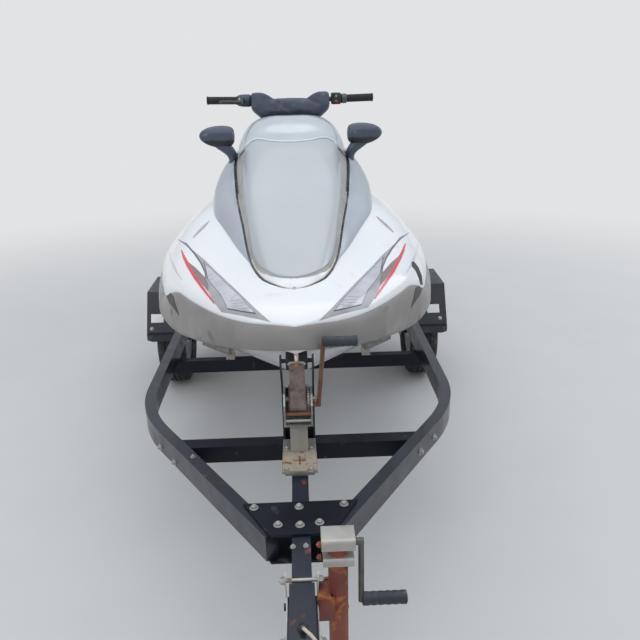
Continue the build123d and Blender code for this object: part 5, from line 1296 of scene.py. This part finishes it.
def press_channels(mesh, channels):
    """Sinks a seat's skin along lines across it. channels: b of each line."""
    for vert in mesh.vertices:
        if (vert.co.z - KEEL_Z) / MM < SADDLE_H + 60:
            continue
        b = (vert.co.y - BOW_Y) / MM
        for line_b in channels:
            distance = (b - line_b - CHANNEL_CURVE * (vert.co.x / MM) ** 2) * MM
            vert.co.z -= CHANNEL_DEEP * math.exp(-(distance / CHANNEL_WIDE) ** 2)


def dropped_line(tree, places, lift):
    """Where a seat's skin lies under places given as (x, b), raised a little."""
    hits = [tree.ray_cast(spot(x, b, ABOVE_SEATS), Vector((0, 0, -1)))[0] for x, b in places]
    return [hit + Vector((0, 0, lift)) for hit in hits if hit is not None]


def make_seams(piece, name, edge_x, b0, b1, channels):
    tree = surface_tree(piece.data)
    threads = []
    for side in (-1, 1):
        line = dropped_line(tree, [(side * edge_x(b), b) for b in np.linspace(b0, b1, 40)], 0.0004)
        threads.append(tube_mesh("piping", line, PIPING_R, 8))
    for line_b in channels:
        across = np.linspace(-edge_x(line_b), edge_x(line_b), 31)
        line = dropped_line(tree, [(float(x), line_b + CHANNEL_CURVE * x * x) for x in across], 0.0002)
        threads.append(tube_mesh("stitch", line, STITCH_R, 6))
    add_piece(name, threads, "thread", slot="seat_vinyl", smooth=60, merge=FINER)


# Patches that lie on the deck, given by the camera's pixels of their outlines
PATCH_THICK = 0.0009
RIBBON_TAPER = 0.3


def patch_mesh(outline, tree, lift, step):
    """A thin sheet over a surface, inside an outline of pixels."""
    xs, ys = [p[0] for p in outline], [p[1] for p in outline]
    border = []
    for (x0, y0), (x1, y1) in zip(outline, outline[1:] + outline[:1]):
        runs = max(int(math.hypot(x1 - x0, y1 - y0) / step), 1)
        border += [Vector((x0 + (x1 - x0) * k / runs, y0 + (y1 - y0) * k / runs)) for k in range(runs)]
    inside = [Vector((float(x), float(y))) for x in np.arange(min(xs) + step / 2, max(xs), step)
              for y in np.arange(min(ys) + step / 2, max(ys), step)]
    edges = [(k, (k + 1) % len(border)) for k in range(len(border))]
    verts, _, faces, *_ = delaunay_2d_cdt(border + inside, edges, [list(range(len(border)))], 1, 0.0001)
    places, kept = [], {}
    for k, v in enumerate(verts):
        hit, normal, _, _ = tree.ray_cast(EYE, sight(v.x, v.y))
        if hit is None:
            continue
        kept[k] = len(places)
        places.append(hit + (-normal if normal.z < 0 else normal) * lift)
    mesh = bpy.data.meshes.new("patch")
    mesh.from_pydata(places, [],
                     [tuple(kept[i] for i in face) for face in faces if all(i in kept for i in face)])
    face_up(mesh)

    def drop_loose(work):
        bmesh.ops.delete(work, geom=[v for v in work.verts if not v.link_faces], context="VERTS")
    return thicken(edited(mesh, drop_loose), PATCH_THICK)


def ribbon(points, wide):
    """The outline of a stripe along points, narrower at its ends."""
    left, right = [], []
    last = len(points) - 1
    for k, p in enumerate(points):
        along = Vector(points[min(k + 1, last)]) - Vector(points[max(k - 1, 0)])
        side = Vector((-along.y, along.x)).normalized()
        share = 1 - (1 - RIBBON_TAPER) * abs(2 * k / last - 1) ** 2
        left.append(tuple(Vector(p) + side * wide / 2 * share))
        right.append(tuple(Vector(p) - side * wide / 2 * share))
    return left + right[::-1]


def grown(outline, middle, factor):
    return [(middle[0] + (x - middle[0]) * factor, middle[1] + (y - middle[1]) * factor) for x, y in outline]


INSERT = [(178, 239.5), (187, 243.2), (192.4, 250), (205.5, 260.6), (215.7, 271), (232, 286), (244, 297.5),
          (256.5, 309.6), (270.8, 322.2), (254.5, 318.4), (240, 315.4), (221.5, 312), (212.5, 300.4),
          (206.5, 288), (203, 281), (205.4, 277), (203.6, 268.5), (196.5, 257), (188, 247.5)]
GEM = [(204.5, 263.5), (209.6, 267.8), (224.4, 282), (241.8, 298.6), (254.6, 312.8), (241.8, 311),
       (228, 308.4), (221, 294.5), (212.4, 285), (208, 279), (206.6, 271)]
GEM_MIDDLE, GEM_RIM = (226, 291), 1.06
SLIVER = [(186.8, 260.9), (195.9, 268.0), (206.0, 278.4), (208.6, 284.5), (208.2, 291.5), (201.7, 283.6),
          (193.4, 271.4)]
STRIPE = [(181.5, 250), (184, 257), (188.5, 266), (195, 277), (203, 288.5), (214.4, 303.6)]
TONGUE_LINE = [(178, 239.2), (186.5, 244.5), (194.5, 253.5), (201.2, 263.5), (205, 272), (206, 279)]
# Pixels of a ribbon of painted shade where a slit lies in the deck
SLIT_SHADE_LINE = [(193, 237.6), (199, 231.5), (205, 225.5), (209.4, 221)]
CRESCENT = [(411.4, 262), (413.8, 261.5), (418.4, 267.5), (421.6, 275.5), (422.6, 284.5), (420.6, 285),
            (418.4, 277), (415.4, 270.5), (411.8, 266.5)]
# Pixels of a grey ribbon of painted shade along a crease in the deck
CREASE_SHADE_LINE = [(169.4, 251), (172, 262), (176.6, 272), (182, 280)]
# Patches on both sides. Columns: name, outline, look, slot, lift in metres, step in pixels
PATCHES = [
    ("flank_insert", INSERT, "insert_grey", "gelcoat_white", 0.0007, 2.2),
    ("flank_gem_edge", grown(GEM, GEM_MIDDLE, GEM_RIM), "line_dark", "trim_black", 0.0012, 2.2),
    ("flank_gem", GEM, "insert_lilac", "gelcoat_white", 0.0018, 2.2),
    ("flank_stripe", ribbon(STRIPE, 3.6), "stripe_red", "gelcoat_white", 0.0012, 1.6),
    ("flank_line", ribbon(TONGUE_LINE, 1.3), "line_dark", "trim_black", 0.0015, 1.0),
    ("flank_sliver", SLIVER, "sliver", "gelcoat_white", 0.0010, 1.4),
    # The slit's taupe ribbon is painted shade of the slit, laid flat on the deck
    ("deck_slit_painted_shade", ribbon(SLIT_SHADE_LINE, 2.4), "taupe", "gelcoat_white", 0.0007, 1.0),
    # The crease's grey ribbon is painted shade of a crease in the deck
    ("deck_crease_painted_shade", ribbon(CREASE_SHADE_LINE, 2.2), "crease", "gelcoat_white", 0.0006, 1.2),
]
GEM_LINES = 4
# A dark patch on each end of the bumper, painted shade of the notch there
NOTCH_SHADE = [(166.4, 296.6), (167.6, 294.2), (170.6, 293.2), (173.4, 295.6), (175.6, 304), (177.6, 310),
         (179.2, 315.6), (174.6, 309.4), (169.6, 303)]


def make_patches(deck):
    tree = surface_tree(deck.data)
    for name, outline, look, slot, lift, step in PATCHES:
        add_piece(name, both_sides(patch_mesh(outline, tree, lift, step)), look, slot=slot, smooth=60)
    for k in range(GEM_LINES):
        y = 300.5 + 2.6 * k
        line = ribbon([(229 + 2.2 * k, y + 1.0), (238 + 2.6 * k, y), (243.5 + 2.4 * k, y - 0.6)], 0.7)
        add_piece(f"gem_line_{k}", both_sides(patch_mesh(line, tree, 0.0022, 0.8)), "insert_grey",
                  slot="trim_black", smooth=60)
    add_piece("flank_crescent", patch_mesh(CRESCENT, tree, 0.001, 1.0), "trim_black", slot="trim_black",
              smooth=60)


# Painted shade of the bumper's notches, laid on its ends
def make_notch_shades(bumper):
    mesh = both_sides(patch_mesh(NOTCH_SHADE, surface_tree(bumper.data), 0.0008, 1.0))
    add_piece("bumper_notch_shades", mesh, "wedge_dark", slot="bumper_grey", smooth=60)


# Grips on the cranks. Columns: name, x from, x to, b, z, radius. Without b it lies at the crank's outer end
CRANK_GRIPS = [("winch_grip", 76, 178, -12, 948, 15.5), ("jack_grip", 145, 255, None, 464, 16.5)]
GRIP_GROOVES, GROOVE_FIRST, GROOVE_PITCH = 5, 0.14, 0.16


def make_crank_grips():
    for name, x0, x1, b, z, radius in CRANK_GRIPS:
        if b is None:
            low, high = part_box("jack_crank")
            y = low[1] + 0.015 if abs(low[1]) > abs(high[1]) else high[1] - 0.015
        else:
            y = BOW_Y + b * MM
        full, groove, end = radius * MM, (radius - 1.0) * MM, radius * 0.75 * MM
        profile = [(0.0, end), (0.02, full)]
        for share in (GROOVE_FIRST + GROOVE_PITCH * k for k in range(GRIP_GROOVES)):
            profile += [(share, full), (share + 0.02, groove), (share + 0.06, groove), (share + 0.08, full)]
        profile += [(0.98, full), (1.0, end)]
        mesh = turned_mesh(name, Vector((x0 * MM, y, z * MM)), Vector((x1 * MM, y, z * MM)), profile, 28)
        add_piece(name, tidy(mesh), "crank_grip", slot="grip_rubber", smooth=40)


# The jack: a welded tube in a bracket, under two bent zinc caps
JACK_X, JACK_B = 88, -480
JACK_Y = trailer_spot(JACK_X, JACK_B, 0).y
JACK_FOOT_Z, JACK_TOP_Z, JACK_R = 293, 648, 0.024
# Its tube's and its mouth's profiles, as (share of the length, how far over the tube's radius)
JACK_TUBE = [(0, -0.004), (0.0, -0.001), (0.006, 0), (0.4, 0), (0.405, 0.0015), (0.41, 0), (0.994, 0),
             (1, -0.001)]
JACK_MOUTH = [(0, 0.001), (0.1, 0.003), (0.9, 0.003), (1, 0)]
JACK_BORE = [(0, -0.0006), (1, -0.0006)]
# Its bracket from the drawbar's side outward
BRACKET_X, BRACKET_LOW, BRACKET_HIGH, BRACKET_HALF = 0.0365, 0.438, 0.492, 40
# Its caps. Columns: low z, high z, width, depth
JACK_CAPS = [(629, 657, 79, 63), (584, 604, 73, 62)]
CAP_BEND = 0.009
SIDE_BOLTS_Z = (0.634, 0.598)


def jack_turned(name, z0, z1, profile):
    """A turned shape on the jack's axis between two heights in mm."""
    return turned_mesh(name, trailer_spot(JACK_X, JACK_B, z0), trailer_spot(JACK_X, JACK_B, z1),
                       [(share, JACK_R + over) for share, over in profile], 40)


def jack_cap(low, high, wide, deep):
    """A cap over the jack's tube, its long top edges bent round, with the tube's bore."""
    cap = box_mesh("cap", ((JACK_X - wide / 2) * MM, JACK_Y - deep / 2 * MM, low * MM),
                   ((JACK_X + wide / 2) * MM, JACK_Y + deep / 2 * MM, high * MM))

    def bend(work):
        edges = [e for e in work.edges if abs((e.verts[0].co - e.verts[1].co).x) > 0.05
                 and e.verts[0].co.z > (low + high) / 2 * MM]
        bmesh.ops.bevel(work, geom=edges, offset=CAP_BEND, segments=6, affect="EDGES", profile=0.5)
    return cut(edited(cap, bend), jack_turned("bore", 560, 647, JACK_BORE))


def make_jack_housing():
    y0, y1 = (BOW_Y + (JACK_B + side * BRACKET_HALF) * MM for side in (-1, 1))
    parts = [jack_turned("jack_tube", JACK_FOOT_Z, JACK_TOP_Z, JACK_TUBE),
             jack_turned("jack_mouth", JACK_FOOT_Z - 2, JACK_FOOT_Z + 12, JACK_MOUTH),
             box_mesh("bracket", (BRACKET_X, y0, BRACKET_LOW), (0.070, y1, BRACKET_HIGH), 0.003)]
    for y in (y0 + 0.006, y1 - 0.006):
        parts.append(box_mesh("ear", (BRACKET_X, y - 0.004, 0.430), (0.078, y + 0.004, 0.497), 0.002))
    for z in (BRACKET_LOW, BRACKET_HIGH):
        parts.append(turned_mesh("weld", Vector((0.0655, y0, z)), Vector((0.0655, y1, z)),
                                 [(0, 0.003), (0.5, 0.004), (1, 0.003)], 10))
    add_piece("jack_body", parts, "rust_red", replaces=("jack_tube",), slot="rust_red", merge=FINE)
    add_piece("jack_caps", [jack_cap(*row) for row in JACK_CAPS], "cap_zinc", slot="zinc", smooth=40)
    bolts = [(((JACK_X - 40.5) * MM, JACK_Y - 0.012, z), (-1, 0, 0)) for z in SIDE_BOLTS_Z]
    add_piece("jack_side_bolts", tidy(bolt_mesh(bolts, 0.013, 0.008, 0.006), FINER), "rust_red",
              slot="rust_red", smooth=30)


# The winch: rusty flanges on the strap's drum, a tie rod, the hook and loop on the bow's eye, and its foot
WINCH_Y, WINCH_Z = BOW_Y + 0.140, 0.690
FLANGE_X, FLANGE_HALF = 0.0275, 0.0012
FLANGE = [(0, 0.047), (0.2, 0.048), (0.8, 0.048), (1, 0.047)]
TIE_X, TIE_B, TIE_Z, TIE_R = 0.0475, 0.092, 0.662, 0.0055
# The hook and its shank. Columns: b, h, radius
HOOK = [(84, 392, 0.0065), (78, 402, 0.007), (80, 416, 0.0075), (92, 424, 0.0075), (104, 420, 0.007),
        (109, 408, 0.006), (105, 398, 0.0045)]
SHANK = [(92, 378, 0.005), (86, 388, 0.006), (84, 394, 0.0065)]
# The loop, as (x, h)
LOOP_B = 91
LOOP = [(-25, 383), (-22, 389), (0, 391), (22, 389), (25, 383)]
# The slots in the foot's plate. Columns: x, b from, b to
SLOTS = [(0.003, 0.020, 0.068), (0.020, 0.041, 0.047)]


def rod_mesh(name, table):
    """A bent rod in the middle plane. Columns of its table: b, h, radius."""
    return tube_mesh(name, [spot(0, b, h) for b, h, _ in table], [radius for _, _, radius in table], 14)


def make_winch_dress():
    parts = []
    half = Vector((FLANGE_HALF, 0, 0))
    for x in (-FLANGE_X, FLANGE_X):
        centre = Vector((x, WINCH_Y, WINCH_Z))
        parts.append(turned_mesh("flange", centre - half, centre + half, FLANGE, 48))
    ends = [Vector((x, BOW_Y + TIE_B, TIE_Z)) for x in (-TIE_X, TIE_X)]
    parts.append(turned_mesh("tie", *ends, [(share, TIE_R) for share in (0, 0.5, 1)], 20))
    add_piece("winch_rust_parts", parts, "rust_brown", slot="rust_red")
    add_piece("strap_hook", [subdivided(rod_mesh("hook", HOOK)), rod_mesh("shank", SHANK)], "hook_orange",
              slot="rust_red", smooth=60)
    loop = tube_mesh("strap_loop", [spot(x, LOOP_B, h) for x, h in LOOP], 0.004, 12)
    add_piece("strap_loop", tidy(loop), "zinc", slot="zinc", smooth=60)
    plate = box_mesh("foot_plate", (-0.0548, BOW_Y - 0.0168, 0.5215), (0.0548, BOW_Y + 0.0905, 0.5235), 0.004)
    add_piece("winch_foot_plate", tidy(plate), "plate_beige", slot="zinc")
    slots = [box_mesh("slot", (-x, BOW_Y + b0, 0.5232), (x, BOW_Y + b1, 0.5238), 0.0002, 1)
             for x, b0, b1 in SLOTS]
    add_piece("winch_plate_slots", slots, "rust_brown", slot="zinc", smooth=30, merge=FINER)


# The coupler's straps. Columns: x, b, z
STRAP_PATH = [(39.7, -455, 512), (39.7, -470, 506), (37.2, -492, 470), (37.2, -560, 462), (37.2, -625, 458)]
STRAP_HALF, STRAP_THICK = 13, 0.003
# Its cross bolts. Columns: b, z, whether its shank shows
COUPLER_BOLTS = [(-463, 507.5, True), (-616, 470, False)]
RING_B, RING_Z, RING_WIDE, RING_DEEP = -0.690, 0.512, 0.030, 0.020


def make_coupler_dress():
    parts = []
    for side in (-1, 1):
        rows = [[trailer_spot(side * x, b, z + rise) for rise in (-STRAP_HALF, STRAP_HALF)]
                for x, b, z in STRAP_PATH]
        parts.append(with_modifiers(grid_mesh("strap_plate", rows),
                                    ("SUBSURF", {"levels": 2, "subdivision_type": "SIMPLE"}),
                                    ("SOLIDIFY", {"thickness": STRAP_THICK, "offset": 0.0})))
    for b, z, shank in COUPLER_BOLTS:
        if shank:
            parts.append(turned_mesh("cross_bolt", trailer_spot(-50, b, z), trailer_spot(50, b, z),
                                     [(share, 0.005) for share in (0, 0.5, 1)], 20))
        heads = [(trailer_spot(side * 40.5, b, z), (side, 0, 0)) for side in (-1, 1)]
        parts.append(bolt_mesh(heads, 0.017, 0.013, 0.010))
    add_piece("coupler_straps", parts, "zinc", slot="zinc", merge=FINER)
    ring = [Vector((RING_WIDE * math.cos(a), BOW_Y + RING_B + RING_DEEP * math.sin(a), RING_Z))
            for a in angles(40)]
    mesh = tube_mesh("coupler_ring", ring + ring[:1], 0.0028, 12, caps=False)
    add_piece("coupler_ring", tidy(mesh), "cable", slot="cable_beige", smooth=60)
    boot = turned_mesh("cable_boot", trailer_spot(0, -612, 502), trailer_spot(1, -622, 520),
                       [(0, 0.016), (0.3, 0.013), (0.6, 0.0085), (1, 0.0062)], 24)
    add_piece("cable_boot", tidy(boot), "rubber", slot="trim_black", smooth=50)


# Fittings on the handlebar, whose ends run from the first of these points to the second
BAR_RUN = ((150, 1452, 1114), (385, 1476, 1118))
HOUSING = [(0, 0.018), (0.03, 0.024), (0.12, 0.0275), (0.55, 0.0275), (0.75, 0.0262), (0.9, 0.024),
           (0.98, 0.021), (1, 0.017)]
CLAMP = [(0, 0.019), (0.1, 0.0215), (0.9, 0.0215), (1, 0.018)]
# The throttle lever. Columns: x, b, h, radius
LEVER = [(-222, 1399, 1109, 0.007), (-232, 1391, 1110, 0.008), (-262, 1390, 1110, 0.0075),
         (-292, 1393, 1111, 0.007), (-316, 1398, 1112, 0.0075), (-323, 1403, 1112, 0.006)]
# Buttons of the switch box. Columns: name, look, height over the bar, radius
BUTTONS = [("start_button", "green", 0.012, 0.0062), ("stop_button", "red_key", -0.010, 0.0065)]
BUTTON_X, BUTTON_AHEAD = 212, 0.0262


def along_bar(x):
    (x0, b0, h0), (x1, b1, h1) = BAR_RUN
    share = (abs(x) - x0) / (x1 - x0)
    return spot(x, b0 + (b1 - b0) * share, h0 + (h1 - h0) * share)


def make_bar_fittings():
    housing = turned_mesh("housing", along_bar(-180), along_bar(-244), HOUSING, 36)
    add_piece("lever_housing", tidy(housing), "pad", body="steering", slot="pad_blue_grey", smooth=50)
    screw = bolt_mesh([(along_bar(-232) + Vector((0, -0.0255, 0.006)), (0, -1, 0.2))], 0.008, 0.006, 0.004)
    add_piece("housing_screw", tidy(screw, FINER), "polished", body="steering", slot="stainless", smooth=30)
    lever = tube_mesh("lever", [spot(*row[:3]) for row in LEVER], [row[3] for row in LEVER], 14)
    add_piece("throttle_lever", tidy(subdivided(lever)), "bar_black", body="steering", slot="trim_black",
              smooth=60)
    clamps = [turned_mesh("clamp", along_bar(236), along_bar(262), CLAMP, 32),
              tube_mesh("bracket", [along_bar(262), along_bar(275)], 0.0135, 20)]
    add_piece("bar_clamps", clamps, "bar_black", body="steering", slot="bar_black", smooth=40)
    for name, look, rise, radius in BUTTONS:
        face = along_bar(BUTTON_X) + Vector((0, -BUTTON_AHEAD, rise))
        button = turned_mesh("button", face, face + Vector((0, -0.004, 0.0008)),
                             [(0, radius), (0.7, radius), (1, 0.005)], 24)
        add_piece(name, tidy(button), look, body="steering", slot="trim_black", smooth=40)
    ends = []
    for side in (-1, 1):
        outer = along_bar(side * 381)
        ends.append(turned_mesh("end", outer, outer + Vector((side * 0.0055, 0, 0)),
                                [(0, 0.0185), (0.5, 0.0190), (1, 0.0165)], 32))
        ends.append(turned_mesh("collar", along_bar(side * 242.5), along_bar(side * 248),
                                [(0, 0.019), (0.5, 0.0205), (1, 0.019)], 32))
    add_piece("grip_ends", ends, "grip", body="steering", slot="grip_rubber", smooth=40)


def surface_hit(node, px, py):
    """Where the camera sees a node at a pixel, with the outward normal."""
    hit, normal, _, _ = surface_tree(NODES[node].data).ray_cast(EYE, sight(px, py))
    if hit is not None and normal.dot(sight(px, py)) > 0:
        normal = -normal
    return hit, normal


# Bolts by the pixel where the camera sees them. Columns: node, px, py, size in mm
BOLTS = [
    ("gusset_plates", 254, 508, 15), ("gusset_plates", 299, 507, 15), ("gusset_plates", 344, 504, 15),
    ("gusset_plates", 278, 525, 15), ("gusset_plates", 300, 525, 15), ("gusset_plates", 319.5, 522.5, 15),
    ("frame_rails", 160.5, 447, 15), ("frame_rails", 174.5, 462, 15), ("frame_rails", 434, 437, 15),
    ("frame_rails", 420.5, 451.5, 15), ("frame_rails", 183, 343, 13), ("frame_rails", 193, 457, 10),
    ("winch_post", 287, 449, 13), ("winch_post", 311, 449, 13), ("winch_post", 287, 470, 13),
    ("winch_post", 311, 470, 13), ("fenders", 152, 329, 12), ("fenders", 440, 318, 12),
    ("drawbar", 293, 547, 9), ("drawbar", 306, 546, 9),
]
# Reflectors on the fenders' front faces, by the pixel of their middle
REFLECTORS = [(157.5, 318.5), (433, 308.5)]


def make_bolts():
    parts = []
    for node, px, py, across in BOLTS:
        hit, normal = surface_hit(node, px, py)
        if hit is not None:
            parts.append(bolt_mesh([(hit, normal)], across * MM, across * MM * 0.85, across * MM * 0.5))
    add_piece("zinc_bolts", parts, "zinc", slot="zinc", smooth=30, merge=FINER)


def panel_mesh(name, place, axes, half, inner, lift, thick):
    """A plate with a bevelled rim on a surface.

    axes: across, up and outward. half: half width and height. inner: shares of them inside the bevel.
    lift: height of the rim and of the rest.
    """
    across, rise, normal = axes
    rows = []
    for v in (-1, -inner[1], inner[1], 1):
        rows.append([place + across * u * half[0] + rise * v * half[1]
                     + normal * (lift[1] if abs(u) < 1 and abs(v) < 1 else lift[0])
                     for u in (-1, -inner[0], inner[0], 1)])
    return thicken(grid_mesh(name, rows), thick)


def make_reflectors():
    parts = []
    for px, py in REFLECTORS:
        hit, normal = surface_hit("fenders", px, py)
        if hit is None:
            continue
        rise = normal.cross(Vector((1, 0, 0))).normalized()
        if rise.z < 0:
            rise = -rise
        across = rise.cross(normal).normalized()
        parts.append(panel_mesh("reflector", hit, (across, rise, normal), (0.034, 0.024), (0.9, 0.9),
                                (0.001, 0.0035), 0.002))
    add_piece("fender_reflectors", parts, "reflector", slot="cable_beige", smooth=20)


# The trailer's lighting cable, which leaves the coupler, rises and dips back to its plug in the holder
CABLE_ROUTE = [(0, -615, 512), (6, -640, 532), (26, -672, 538), (52, -700, 508), (66, -718, 462),
               (70, -738, 412), (72, -766, 372), (72, -802, 366), (70, -832, 396), (68, -842, 436),
               (68, -842, 470)]
CABLE_R = 0.004


def make_cable():
    curve = bpy.data.curves.new("trailer_cable", "CURVE")
    curve.dimensions = "3D"
    spline = curve.splines.new("NURBS")
    spline.points.add(len(CABLE_ROUTE) - 1)
    for point, (x, b, z) in zip(spline.points, CABLE_ROUTE):
        point.co = (x * MM, BOW_Y + b * MM, z * MM, 1.0)
    spline.order_u = 3
    spline.use_endpoint_u = True
    spline.resolution_u = 8
    curve.bevel_depth = CABLE_R
    curve.bevel_resolution = 4
    curve.use_fill_caps = True
    piece = show("trailer_cable", curve)
    curve.materials.append(LOOKS["cable"])
    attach(piece, FIXED)
    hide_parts("cable")


# Wheels
WHEEL_X, WHEEL_Y = 0.704, BOW_Y + 1.830
TYRE_R = 0.254
TYRE_STEPS = 192
TREAD_GROOVES, GROOVE_DEEP = (-26, 0, 26), 5.5
SHOULDER_CUT, BLOCK_CUT = 4.5, 4.0
SIDES = ((1, "left"), (-1, "right"))
# Hub cap, wheel nuts and valve of each wheel
NUT_RING_R, NUT_COUNT = 0.054, 5
CAP_R = 0.031
CAP = [(0, 0), (0.12, 0), (0.15, -0.002), (0.8, -0.003), (0.95, -0.007), (1, -0.012)]
VALVE_R, VALVE_ANGLE = 0.128, 0.9
VALVE = [(0, 0.006), (0.4, 0.0045), (0.5, 0.0035), (1, 0.0035)]


def tyre_section():
    """The tyre's section as (across, radius) in mm, from bead to bead, with tread grooves."""
    side = [(-54, 156), (-60, 160), (-69, 170), (-75, 186), (-75, 205), (-73, 222), (-66, 238), (-57, 247.5)]
    tread = [(-52, 250), (-40, 252.6)]
    for g in TREAD_GROOVES:
        top = 254 - 0.0012 * g * g
        tread += [(g - 4.2, top), (g - 3.0, top - GROOVE_DEEP), (g + 3.0, top - GROOVE_DEEP), (g + 4.2, top)]
    tread += [(40, 252.6), (52, 250)]
    return side + tread + [(-a, r) for a, r in reversed(side)]


def make_tyre(side, hand):
    rows = []
    for k, a in enumerate(angles(TYRE_STEPS)):
        row = []
        for across, r in tyre_section():
            if abs(across) > 38 and r > 240 and k % 6 < 2:
                r -= SHOULDER_CUT
            if 7 < abs(across) < 21 and (k + (3 if across > 0 else 0)) % 8 < 1:
                r -= BLOCK_CUT
            row.append(Vector((side * WHEEL_X + across * MM, WHEEL_Y + r * MM * math.sin(a),
                               TYRE_R + r * MM * math.cos(a))))
        rows.append(row)
    mesh = tidy(grid_mesh("tyre", rows + rows[:1], ring=True))
    add_piece(f"treaded_tyre_{hand}", mesh, "tyre", body=f"wheel_{hand}", replaces=(f"tyre_{hand}",),
              slot="tyre_black", smooth=25)


def make_hub(side, hand):
    tree = surface_tree(NODES[f"rim_{hand}"].data)
    out = Vector((side, 0, 0))

    def face(radius, angle):
        """Where the rim's outer face lies at a radius and an angle."""
        start = Vector((side * 1.0, WHEEL_Y + radius * math.sin(angle), TYRE_R + radius * math.cos(angle)))
        return tree.ray_cast(start, -out)[0]

    base = Vector((face(CAP_R + 0.004, 0.5).x, WHEEL_Y, TYRE_R)) - out * 0.001
    cap = turned_mesh("cap", base, base + out * 0.030, [(share, CAP_R + over) for share, over in CAP], 36)
    nuts = bolt_mesh([(face(NUT_RING_R, a), out) for a in angles(NUT_COUNT)], 0.019, 0.0125, 0.013)
    stem = face(VALVE_R, VALVE_ANGLE)
    valve = turned_mesh("valve", stem, stem + out * 0.024, VALVE, 14)
    add_piece(f"hub_{hand}", [cap, nuts, valve], "zinc", body=f"wheel_{hand}", slot="zinc", merge=FINER)


# The cluster's display, on the face that a rider sees
RIDER_EYE = (0.0, 2050, 1400)
DISPLAY_HALF = (0.036, 0.021)


def make_display():
    tree = surface_tree(NODES["instrument_cluster"].data)
    low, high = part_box("instrument_cluster")
    eye = spot(*RIDER_EYE)
    ahead = (Vector(low) + Vector(high)) / 2 - eye
    hit, normal, _, _ = tree.ray_cast(eye, ahead.normalized())
    if hit is None:
        return
    if normal.dot(ahead) > 0:
        normal = -normal
    across = Vector((1, 0, 0))
    axes = (across, normal.cross(across).normalized(), normal)
    mesh = panel_mesh("display_panel", hit, axes, DISPLAY_HALF, (0.95, 0.92), (0.0004, 0.002), 0.001)
    add_piece("display_panel", tidy(mesh, FINER), "display", slot="trim_black", smooth=20)


# What each node that stays is finished in
NODE_LOOKS = {
    "axle_beam": "frame_paint", "boarding_step": "steel", "bow_post": "frame_paint", "bow_stop": "rubber",
    "bunk_posts": "old_zinc", "bunks": "carpet", "console": "trim_black", "coupler": "drawbar_paint",
    "crossmembers": "plate_paint", "deck_mats": "mat", "drawbar": "drawbar_paint",
    "engine_block": "cast_alloy", "fenders": "fender_paint", "frame_rails": "frame_paint",
    "glovebox_lid": "trim_black",
    "grab_handle": "trim_black", "grips": "grip", "gusset_plates": "plate_paint", "handlebar": "bar_black",
    "impeller": "polished", "instrument_cluster": "trim_black", "intake_grate": "cast_alloy",
    "jack_crank": "dull_steel", "jack_fork": "old_zinc", "jack_leg": "old_zinc",
    "jack_wheel": "rubber", "jet_pump": "cast_alloy", "light_bar": "frame_paint", "plug": "plug_black",
    "plug_holder": "plug_black", "reverse_bucket": "cast_alloy", "ride_plate": "cast_alloy",
    "rim_left": "rim_paint", "rim_right": "rim_paint", "shift_lever": "trim_black", "sponsons": "trim_black",
    "steering_nozzle": "cast_alloy", "switch_box": "trim_black", "tail_lamps": "lens_red",
    "throttle": "bar_black", "tow_eyes": "polished", "winch_crank": "copper", "winch_frame": "zinc",
    "winch_post": "cap_zinc", "winch_strap": "strap",
}


def dress_nodes():
    for node, look in NODE_LOOKS.items():
        mesh = NODES[node].data
        mesh.materials.clear()
        mesh.materials.append(LOOKS[look])


bpy.context.scene.view_settings.view_transform = "Standard"
set_camera()
LOOKS = {name: surface(name, **row) for name, row in LOOK_TABLE.items()}
make_cable()
light_scene()
stage_floor()
dress_nodes()
deck = make_deck()
make_hull()
make_hood()
make_hood_gap_strip()
make_visor()
make_covers()
bumper = make_bumper()
make_rub_rails()
make_mirrors()
make_pad()
front = make_seat("front_cushion", "front_seat", FRONT_SEAT, FRONT_CHANNELS)
rear = make_seat("rear_cushion", "rear_seat", REAR_SEAT, REAR_CHANNELS)
make_seams(front, "front_seams", lambda b: 118 + 14 * smooth_step(b, 1760, 1900), 1765, 2160, FRONT_CHANNELS)
make_seams(rear, "rear_seams", lambda b: 132 - 16 * smooth_step(b, 2650, 2780), 2180, 2772, REAR_CHANNELS)
make_bar_fittings()
for side, hand in SIDES:
    make_tyre(side, hand)
for side, hand in SIDES:
    make_hub(side, hand)
make_display()
make_patches(deck)
make_notch_shades(bumper)
make_crank_grips()
make_jack_housing()
make_winch_dress()
make_coupler_dress()
make_bolts()
make_reflectors()
